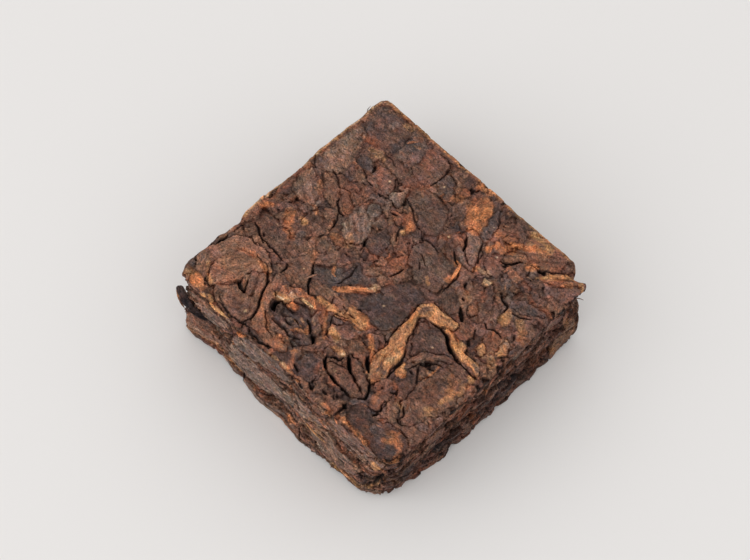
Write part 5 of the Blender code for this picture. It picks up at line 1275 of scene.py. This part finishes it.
    ("rust", 0.6, 0.3, 1.8, -8.8, 2.2, -9.3), ("rust", 0.7, 0.4, -4.1, -9.4, -3.6, -9.8),
    ("slate", 0.7, 1, 8.4, -10, 9.1, -10.3), ("orange", 0.7, 0.5, 9.5, -10.2, 10.2, -9.8),
    ("orange", 0.6, 0.7, 9.7, -9.3, 10.7, -9.7), ("slate", 0.6, 0.8, 10.4, -10.5, 10.9, -10.2),
    ("orange", 0.9, 0.3, 10.9, -11.5, 11.3, -11.1, 11.4, -10.2),
    ("orange", 0.7, 0.3, 5.6, -11.3, 6.8, -11.3, 8.2, -11.4), ("brown", 0.4, 0.6, 7.8, -8.3, 8.5, -8.7),
    ("brown", 0.4, 0.8, 8.2, -6.9, 9, -6.7), ("gold", 0.5, 0.4, 9.9, -6.1, 10.2, -5.8),
    ("orange", 0.8, 0.5, 3.6, 7.7, 4.2, 8.8), ("orange", 0.85, 0.4, 4.7, 9.5, 5.5, 9.8, 6.2, 10.5),
    ("orange", 0.75, 0.5, 6.9, 9, 7.6, 9.4), ("gold", 0.7, 0.5, 5.4, 11.4, 6.2, 11.8),
    ("gold", 0.5, 0.4, 6.2, 11.3, 7.4, 11.4), ("gold", 0.6, 0.3, 8.6, 9.1, 9.1, 9.8, 9.9, 10.7),
    ("brown", 0.5, 0.8, 6, 9.4, 7.5, 10.6), ("rust", 0.5, 0.5, 3.6, 9.7, 4.5, 10.2),
    ("orange", 0.5, 0.5, 0.1, 9.3, 0, 10), ("orange", 0.6, 0.4, -11.7, -2.9, -11.5, -2.5, -11.1, -2.1),
    ("brown", 0.6, 0.4, -11.7, -3.9, -11.7, -3), ("rust", 0.7, 0.6, -10, -0.6, -10.1, -0.1),
    ("orange", 0.6, 0.5, -9, -2.2, -9.1, -1.4), ("ash", 0.6, 0.35, 2.1, 7.4, 3, 6.8, 3.7, 5.9),
    ("ash", 0.5, 0.3, 2, 6, 3, 5.5), ("umber", 0.45, 0.9, 5.2, -7.1, 5.7, -6.3),
    ("orange", 0.35, 0.5, 7.4, -0.5, 8.2, -0.4, 9, -0.5), ("gold", 0.4, 0.3, 10.3, -3.3, 10.5, -3.6),
    ("orange", 0.6, 0.5, -11.4, -2.7, -11.1, -2.2), ("ash", 0.6, 0.7, 10.3, 2.7, 11, 2.7),
    ("gold", 0.7, 0.5, -5, -7.5, -4.5, -7.3, -4.2, -7.1),
    ("orange", 0.7, 0.45, -2.2, -3.7, -1, -2.7, 0.1, -1.3), ("cream", 0.7, 0.3, -0.4, -1.8, 0.1, -1.1),
    ("ash", 0.5, 0.3, -3.8, -8.5, -3.4, -8.5), ("ash", 0.4, 0.3, -3.5, -8.1, -3.2, -7.9),
    ("slate", 0.8, 0.28, -3, -7.8, -2.7, -7.7), ("ash", 0.5, 0.25, -3, -8.8, -2.7, -8.7),
    ("mauve", 0.6, 0.25, -2.6, -8.6, -2.3, -8.5), ("gold", 0.55, 0.25, -2.2, -7.4, -1.9, -7.5),
    ("gold", 0.5, 0.22, -2.5, -7.9, -2.2, -7.9), ("orange", 0.6, 0.2, -2.1, -8.7, -1.9, -8.6),
    ("slate", 0.8, 0.3, -1.4, -8.6, -1, -8.7), ("ash", 0.45, 0.3, -1.4, -9.5, -1, -9.4),
    ("orange", 0.55, 0.25, -1.3, -7.9, -0.9, -8.1), ("cream", 0.35, 0.2, -1.5, -6.9, -1.1, -7.1),
    ("ash", 0.5, 0.2, -1.5, -6.5, -1, -6.9), ("slate", 0.6, 0.25, -1.5, -7.3, -1.1, -7.5),
    ("gold", 0.5, 0.4, 0.2, -6.7, 0.7, -6.5), ("cream", 0.8, 0.22, 1, -7, 1.2, -6.9),
    ("cream", 0.7, 0.2, 2.2, -7.4, 2.3, -7.3),
]


def paintTop(x, y):
    # the field of the top, leaf by leaf
    field = newField(x, y, 8.6, "dark")
    rng = np.random.default_rng(5)
    for kind in ("scraps", "crumbs"):
        scatterScraps(field, rng, top[kind])
    for leaf in topLeaves.values():
        if "widths" in leaf:
            shape = stripShape(field, leaf["points"], leaf["widths"])
        else:
            shape = outlineShape(field, leaf["points"], leaf.get("grain", 0))
        layLeaf(field, shape, leaf, rng)
    markField(field, topTones, 50, topCracks, 200)
    glints = top["glints"]
    for k, spot in enumerate(glints["spots"]):
        paintTone(field, [spot], glints["width"], glints["colour"], glints["strength"], 400 + k)
    field["height"] += 0.09 * softNoise(x, y, 4.5, 11) + 0.03 * softNoise(x, y, 0.5, 12)
    field["height"] += 0.018 * softNoise(x, y, 0.22, 13)
    field["height"] = np.minimum(field["height"], brick["height"] - 0.02)
    field["openness"] = exposure(field["height"], 4, 0.14)
    return field


def growSkirt(bm, around):
    # rows of the sides' own surface, shading into the top's edge
    colourLayer = bm.verts.layers.float_color["leafColour"]
    grainLayer = bm.verts.layers.float_vector["grain"]
    ring = [edge for edge in bm.edges if edge.is_boundary]
    for row in range(1, top["skirtRows"] + 1):
        grown = bmesh.ops.extrude_edge_only(bm, edges=ring)["geom"]
        ring = [item for item in grown if isinstance(item, bmesh.types.BMEdge)]
        verts = [item for item in grown if isinstance(item, bmesh.types.BMVert)]
        place = np.array([vertex[around] for vertex in verts])
        drop = top["skirtDepth"] * (1 + 0.5 * softNoise(place, 0 * place, 0.8, 41))
        z = brick["topPlane"] - 0.1 - drop * row / top["skirtRows"]
        points, colours, grains, opens = sideSurface(place, z)
        kept = np.array([vertex[colourLayer] for vertex in verts])
        share = min(1.0, row / (top["skirtRows"] - 1))
        colours = kept[:, :3] * (1 - share) + colours * share
        opens = kept[:, 3] * (1 - share) + opens * share
        if row < 3:
            grains = np.array([vertex[grainLayer] for vertex in verts]) + (0, 0.1, 0)
        dressVertices(bm, verts, points, colours, grains, opens)
    return [edge for edge in ring if edge.is_boundary]


def buildTop():
    # makes the piece, and gives the heights of its cells
    bm, cell, plainX, plainY = newSquare(top["cells"])
    level = np.full(plainX.shape, brick["topPlane"])
    x, y, reach = wornSquare(plainX, plainY, brick["topPlane"], level, 0.1)
    field = paintTop(x, y)
    heights = field["height"] - 0.12 * smoothStep(halfSide - 0.3, halfSide, reach)
    around = bm.verts.layers.float.new("around")
    places = np.where(np.isclose(reach, halfSide), distanceRound(plainX, plainY), -1.0)
    for vertex, place in zip(bm.verts, places[cell].tolist()):
        vertex[around] = place
    dressVertices(bm, bm.verts, np.stack([x, y, heights], -1)[cell], field["colour"][cell],
                  field["grain"][cell], field["openness"][cell])
    closeWithFan(bm, growSkirt(bm, around), top["fanLevel"])
    bm.verts.layers.float.remove(around)
    finishPiece(bm, "topLeaves", pressedLeaf)
    return heights


topHeights = buildTop()

# the base: pressed flat, its leaves level with the table
base = {
    "cells": 150,
    "scraps": {
        "spacing": (1.7, 1.7), "length": (1.8, 4.2), "slimness": (0.4, 0.85), "spread": 60,
        "level": 0.0, "unevenness": 0.05, "crack": 0.25,
        "colours": {"umber": 4, "dark": 4, "brown": 3, "mauve": 2, "slate": 2, "rust": 1},
    },
    "fanLevel": 1.2,
}


def buildBase():
    bm, cell, plainX, plainY = newSquare(base["cells"])
    lift = baseLift(plainX, plainY)
    x, y, reach = wornSquare(plainX, plainY, 0.0, lift, -0.1)
    field = newField(x, y, -0.1, "dark")
    scatterScraps(field, np.random.default_rng(8), base["scraps"])
    heights = -np.minimum(field["height"], 0.0) + lift * smoothStep(halfSide - 1.2, halfSide, reach)
    dressVertices(bm, bm.verts, np.stack([x, y, heights], -1)[cell], field["colour"][cell],
                  field["grain"][cell], exposure(-heights, 3, 0.12)[cell])
    closeWithFan(bm, [edge for edge in bm.edges if edge.is_boundary], base["fanLevel"])
    finishPiece(bm, "baseLeaves", pressedLeaf)


buildBase()

# thin loose leaves: both faces modelled, edges thinned


def thinLeaf(colour, second, widths, *numbers, **look):
    # its colours, its widths, and the points of its middle line
    return {"colour": colour, "second": second, "widths": widths,
            "path": np.reshape(np.array(numbers, float), (-1, 3)), **look}


thin = {
    "peeled": thinLeaf(         # stands off the left corner, over a dark gap
        "soot", "umber", (0.5, 0.6, 0.65, 0.75, 0.85), -8.3, -11.1, 4.5, -9.45, -11.6, 4.8,
        -10.4, -11.8, 5.3, -11.1, -11.8, 6.1, -11.45, -11.65, 6.95, thickness=0.25, lie=(0.0, -0.6, 0.8),
        rows=60, columns=16, shade=0.5),
    "slivers": [                # golden shreds, most of them along the front edge
        thinLeaf("gold", "orange", (0.12, 0.22, 0.16, 0.08), -8.2, -11.65, 8.75, -7.8, -11.75, 8.85,
                 -7.3, -11.75, 8.8, -6.8, -11.65, 8.7),
        thinLeaf("umber", "gold", (0.08, 0.16, 0.18, 0.1), -10.7, -11.98, 4.5, -11.1, -12.02, 5.0,
                 -11.45, -12.0, 5.8, -11.7, -11.95, 6.5),
        thinLeaf("gold", "orange", (0.15, 0.35, 0.15), -9.4, -11.55, 8.8, -9, -11.65, 8.9,
                 -8.7, -11.6, 8.85),
        thinLeaf("gold", "brown", (0.1, 0.25, 0.1), -7.6, -11.6, 8.95, -6.8, -11.7, 8.95, -6.1, -11.6, 8.9),
        thinLeaf("orange", "brown", (0.2, 0.35, 0.15), -5, -11.75, 8.4, -4.5, -11.85, 8.6, -4.1, -11.8, 8.9),
        thinLeaf("gold", "mauve", (0.08, 0.13, 0.11, 0.05), 3.0, -11.8, 3.9, 3.8, -11.88, 3.85,
                 4.6, -11.88, 3.75, 5.3, -11.8, 3.7),
        thinLeaf("cream", "gold", (0.1, 0.2, 0.08), -3.3, -6.3, 9.05, -2.7, -6.3, 9.12, -2.2, -6.2, 9.05),
        thinLeaf("cream", "gold", (0.12, 0.28, 0.1), -4.9, -7.5, 9.0, -4.4, -7.4, 9.1, -4.0, -7.1, 9.02),
        thinLeaf("orange", "rust", (0.1, 0.25, 0.3, 0.1), 2.7, 5.1, 9, 3.2, 4.9, 9.1, 3.5, 4.2, 9.1,
                 3.6, 3.4, 9),
    ],
    "hairs": [
        thinLeaf("umber", "dark", widths, *path) for widths, *path in (
            ((0.1, 0.07, 0.03), 11.3, 9.6, 8.6, 11.75, 9.9, 8.7, 12.05, 10.1, 8.6),
            ((0.08, 0.06, 0.03), 11.4, 9.2, 8.4, 11.8, 9.3, 8.5, 12.0, 9.5, 8.6),
            ((0.08, 0.06, 0.03), 11.3, 8.8, 8.1, 11.6, 8.6, 7.9, 11.8, 8.2, 7.7),
            ((0.08, 0.06, 0.03), -11.7, 9.6, 8.7, -12.0, 9.9, 8.8, -12.1, 10.4, 8.8),
            ((0.1, 0.08, 0.04), -11.6, -3.9, 0.6, -12, -4.2, 0.5, -12.1, -4.8, 0.4),
            ((0.12, 0.1, 0.04), 6.1, -11.6, 1.0, 6.2, -11.8, 0.7, 6.2, -11.9, 0.4))
    ],
    "plates": {                 # layers standing out of the sides
        "number": 260, "length": (1.0, 4.2), "z": (0.9, 8.5), "standOut": (0.02, 0.2), "corner": 1.7,
        "leastOpen": 0.18, "thickness": (0.07, 0.16),
        "colours": ("umber", "brown", "mauve", "ash", "umber", "dark", "brown", "mauve"),
    },
    "shreds": {                 # bits lying on top
        "number": 60, "length": (0.4, 1.1), "slimness": (0.15, 0.35), "reach": 11.2, "stepLimit": 0.16,
        "thickness": 0.04,
        "colours": ("umber", "brown", "mauve", "brown", "rust", "brown", "ash", "umber"),
    },
}

usualThin = {"rows": 12, "columns": 4, "lie": (0, 0, 1), "thickness": 0.05, "cup": 1.0, "shade": 1.0}


def addThinLeaf(bm, leaf, seed):
    # lie: the way its flat face looks; cup: how far its edges rise
    leaf = {**usualThin, **leaf}
    made = bmesh.ops.create_grid(bm, x_segments=leaf["rows"], y_segments=leaf["columns"], size=1.0)["verts"]
    faces = list({face for vertex in made for face in vertex.link_faces})
    upper = bmesh.ops.extrude_face_region(bm, geom=faces, use_keep_orig=True)["geom"]
    upper = [item for item in upper if isinstance(item, bmesh.types.BMVert)]
    verts = made + upper
    flat = np.array([vertex.co[:2] for vertex in verts])
    face = np.repeat([-1.0, 1.0], [len(made), len(upper)])
    u, v = (flat[:, 0] + 1) / 2, flat[:, 1]
    middle = alongCurve(leaf["path"], u)
    ahead = alongCurve(leaf["path"], u + 0.02) - alongCurve(leaf["path"], u - 0.02)
    ahead = ahead / np.linalg.norm(ahead, axis=1)[:, None]
    across = np.cross(np.array(leaf["lie"], float), ahead)
    across = across / np.linalg.norm(across, axis=1)[:, None]
    away = np.cross(ahead, across)
    half = np.interp(u, np.linspace(0, 1, len(leaf["widths"])), leaf["widths"]) / 2
    half = half * (0.2 + 0.8 * np.sqrt(np.clip(1 - (2 * u - 1) ** 8, 0, 1)))
    length = np.linalg.norm(np.diff(leaf["path"], axis=0), axis=1).sum()
    run, off = u * length, v * half
    half = half * (1 + 0.25 * softNoise(run, v * 0.3 + seed, 0.35, seed))
    wave = 0.35 * leaf["thickness"] + 0.03
    lift = wave * softNoise(run, off, 0.6, seed + 1) + 0.15 * half * v**2 * leaf["cup"]
    thickness = leaf["thickness"] / 2 * (1 - 0.7 * v**4) * (1 - 0.7 * (2 * u - 1) ** 8)
    points = middle + across * (v * half)[:, None] + away * (lift + face * thickness)[:, None]
    patch = np.clip(0.5 + 0.7 * softNoise(run, off, 0.5, seed + 2), 0, 1)[:, None] * 0.7
    colours = linear(leaf["colour"]) * (1 - patch) + linear(leaf["second"]) * patch
    grains = np.stack([run, off, np.full_like(run, seed * 0.37)], -1)
    # painted shade on the underside, and a little painted light towards the upper face's edges
    opens = np.where(face > 0, 0.55 + 0.15 * v**2, 0.3)
    dressVertices(bm, verts, points, colours * leaf["shade"], grains, opens)


def buildThinLeaves(name, leaves, seed, material):
    bm = newMesh()
    for k, leaf in enumerate(leaves):
        addThinLeaf(bm, leaf, seed + 3 * k)
    finishPiece(bm, name, material)


def sidePlates():
    # thin layers lying level, their edges just out of the sides
    plates = thin["plates"]
    rng = np.random.default_rng(31)
    leaves = []
    for k in range(plates["number"]):
        place = rng.uniform(0, 4 * brick["side"])
        length = rng.uniform(*plates["length"])
        z = rng.uniform(*plates["z"])
        s = place + np.linspace(0, length, 6)
        if (place % brick["side"] > brick["side"] - plates["corner"]
                or (place + length) % brick["side"] < plates["corner"]):
            continue
        heights = z + np.linspace(0, rng.uniform(-0.5, 0.5), 6) + 0.08 * softNoise(s, 0 * s, 0.8, 61)
        points, _, _, openness = sideSurface(s, heights)
        if openness.min() < plates["leastOpen"] or brick["side"] < place < 2 * brick["side"]:
            continue            # it would cross a gap, or lie on the torn right side
        _, _, outX, outY = roundedSquare(*aroundSquare(s), heights)
        width = rng.uniform(0.6, 1.0)
        out = rng.uniform(*plates["standOut"]) - width / 2
        points[:, 0] += outX * out
        points[:, 1] += outY * out
        colour, second = rng.choice(plates["colours"], 2)
        leaves.append({"path": points, "widths": [0.5 * width, width, width, 0.95 * width, 0.4 * width],
                       "thickness": rng.uniform(*plates["thickness"]), "colour": colour, "second": second,
                       "lie": (outX[0] * 0.5, outY[0] * 0.5, 1), "cup": rng.uniform(-1, 0.3), "columns": 5})
    return leaves


def topShreds():
    # bits that lie flat on the finished top
    shreds = thin["shreds"]
    rng = np.random.default_rng(33)
    leaves = []
    for k in range(shreds["number"]):
        x, y = rng.uniform(-10.8, 10.8, 2)
        turn = rng.uniform(0, 2 * math.pi)
        length = rng.uniform(*shreds["length"])
        bend = rng.uniform(-0.3, 0.3)
        t = np.linspace(-0.5, 0.5, 4)
        along, across = t * length, bend * length * (t**2 - 0.08)
        px = x + along * math.cos(turn) - across * math.sin(turn)
        py = y + along * math.sin(turn) + across * math.cos(turn)
        if max(abs(px).max(), abs(py).max()) > shreds["reach"]:
            continue
        width = length * rng.uniform(*shreds["slimness"])
        levels = topHeights[cellOf(px, top["cells"]), cellOf(py, top["cells"])]
        heights = levels.max() + rng.uniform(-0.02, 0.03) + rng.uniform(-0.02, 0.02, 4)
        heights = np.minimum(heights, brick["height"])
        colour, second = rng.choice(shreds["colours"], 2)
        lie = (*rng.uniform(-0.25, 0.25, 2), 1)
        if np.ptp(levels) > shreds["stepLimit"]:
            continue            # it would bridge a gap
        leaves.append({"path": np.stack([px, py, heights], -1),
                       "widths": [0.4 * width, width, 0.9 * width, 0.2 * width],
                       "thickness": shreds["thickness"], "colour": colour, "second": second,
                       "lie": lie, "rows": 8})
    return leaves


buildThinLeaves("peeledFlake", [thin["peeled"]], 70, stackedEdges)
buildThinLeaves("goldSlivers", thin["slivers"], 90, pressedLeaf)
buildThinLeaves("fineHairs", thin["hairs"], 130, stackedEdges)
buildThinLeaves("sidePlates", sidePlates(), 160, stackedEdges)
buildThinLeaves("topShreds", topShreds(), 1200, pressedLeaf)

# the studio: a pale table, a bright even room and one large soft light
studio = {
    "floor": {"size": 0.6, "colour": (0.80, 0.785, 0.775, 1), "roughness": 0.7, "specular": 0.2},
    "world": {"Color": (1.0, 0.99, 0.98, 1), "Strength": 0.845},
    "key": {"place": (-0.167, -0.634, 0.459), "size": 1.0, "power": 2.57},
    "camera": {                 # the photograph's view: a 120 mm lens, 208 mm away
        "lens": 120, "distance": 208.15, "azimuth": 36.6, "elevation": 62.9, "roll": 8.9,
        "aim": (-3.289, 2.806, 0.0),
    },
}


def buildFloor():
    look = studio["floor"]
    bm = bmesh.new()
    bmesh.ops.create_grid(bm, x_segments=1, y_segments=1, size=look["size"])
    mesh = bpy.data.meshes.new("floor")
    bm.to_mesh(mesh)
    bm.free()
    floor = addObject("floor", mesh)
    material = bpy.data.materials.new("paleTable")
    material.use_nodes = True
    shader = material.node_tree.nodes["Principled BSDF"]
    shader.inputs["Base Color"].default_value = look["colour"]
    shader.inputs["Roughness"].default_value = look["roughness"]
    shader.inputs["Specular IOR Level"].default_value = look["specular"]
    mesh.materials.append(material)


def buildLights():
    world = bpy.data.worlds.new("studio")
    bpy.context.scene.world = world
    world.use_nodes = True
    for name, value in studio["world"].items():
        world.node_tree.nodes["Background"].inputs[name].default_value = value
    light = bpy.data.lights.new("key", "AREA")
    light.shape = "DISK"
    light.size = studio["key"]["size"]
    light.energy = studio["key"]["power"]
    lamp = addObject("key", light)
    lamp.location = studio["key"]["place"]
    lamp.rotation_euler = (-Vector(studio["key"]["place"])).to_track_quat("-Z", "Y").to_euler()


def buildCamera():
    view = studio["camera"]
    turn, lift, tilt = (math.radians(view[name]) for name in ("azimuth", "elevation", "roll"))
    back = Vector((math.sin(turn) * math.cos(lift), -math.cos(turn) * math.cos(lift), math.sin(lift)))
    level = Vector((math.cos(turn), math.sin(turn), 0))
    rise = back.cross(level)
    right = math.cos(tilt) * level + math.sin(tilt) * rise
    up = math.cos(tilt) * rise - math.sin(tilt) * level
    camera = addObject("camera", bpy.data.cameras.new("camera"))
    camera.data.lens = view["lens"]
    camera.data.clip_start = 0.01
    placed = Matrix((right, up, back)).transposed().to_4x4()
    placed.translation = (Vector(view["aim"]) + back * view["distance"]) * mm
    camera.matrix_world = placed
    bpy.context.scene.camera = camera


buildFloor()
buildLights()
buildCamera()
bpy.context.scene.view_settings.view_transform = "Standard"
print("studio done")
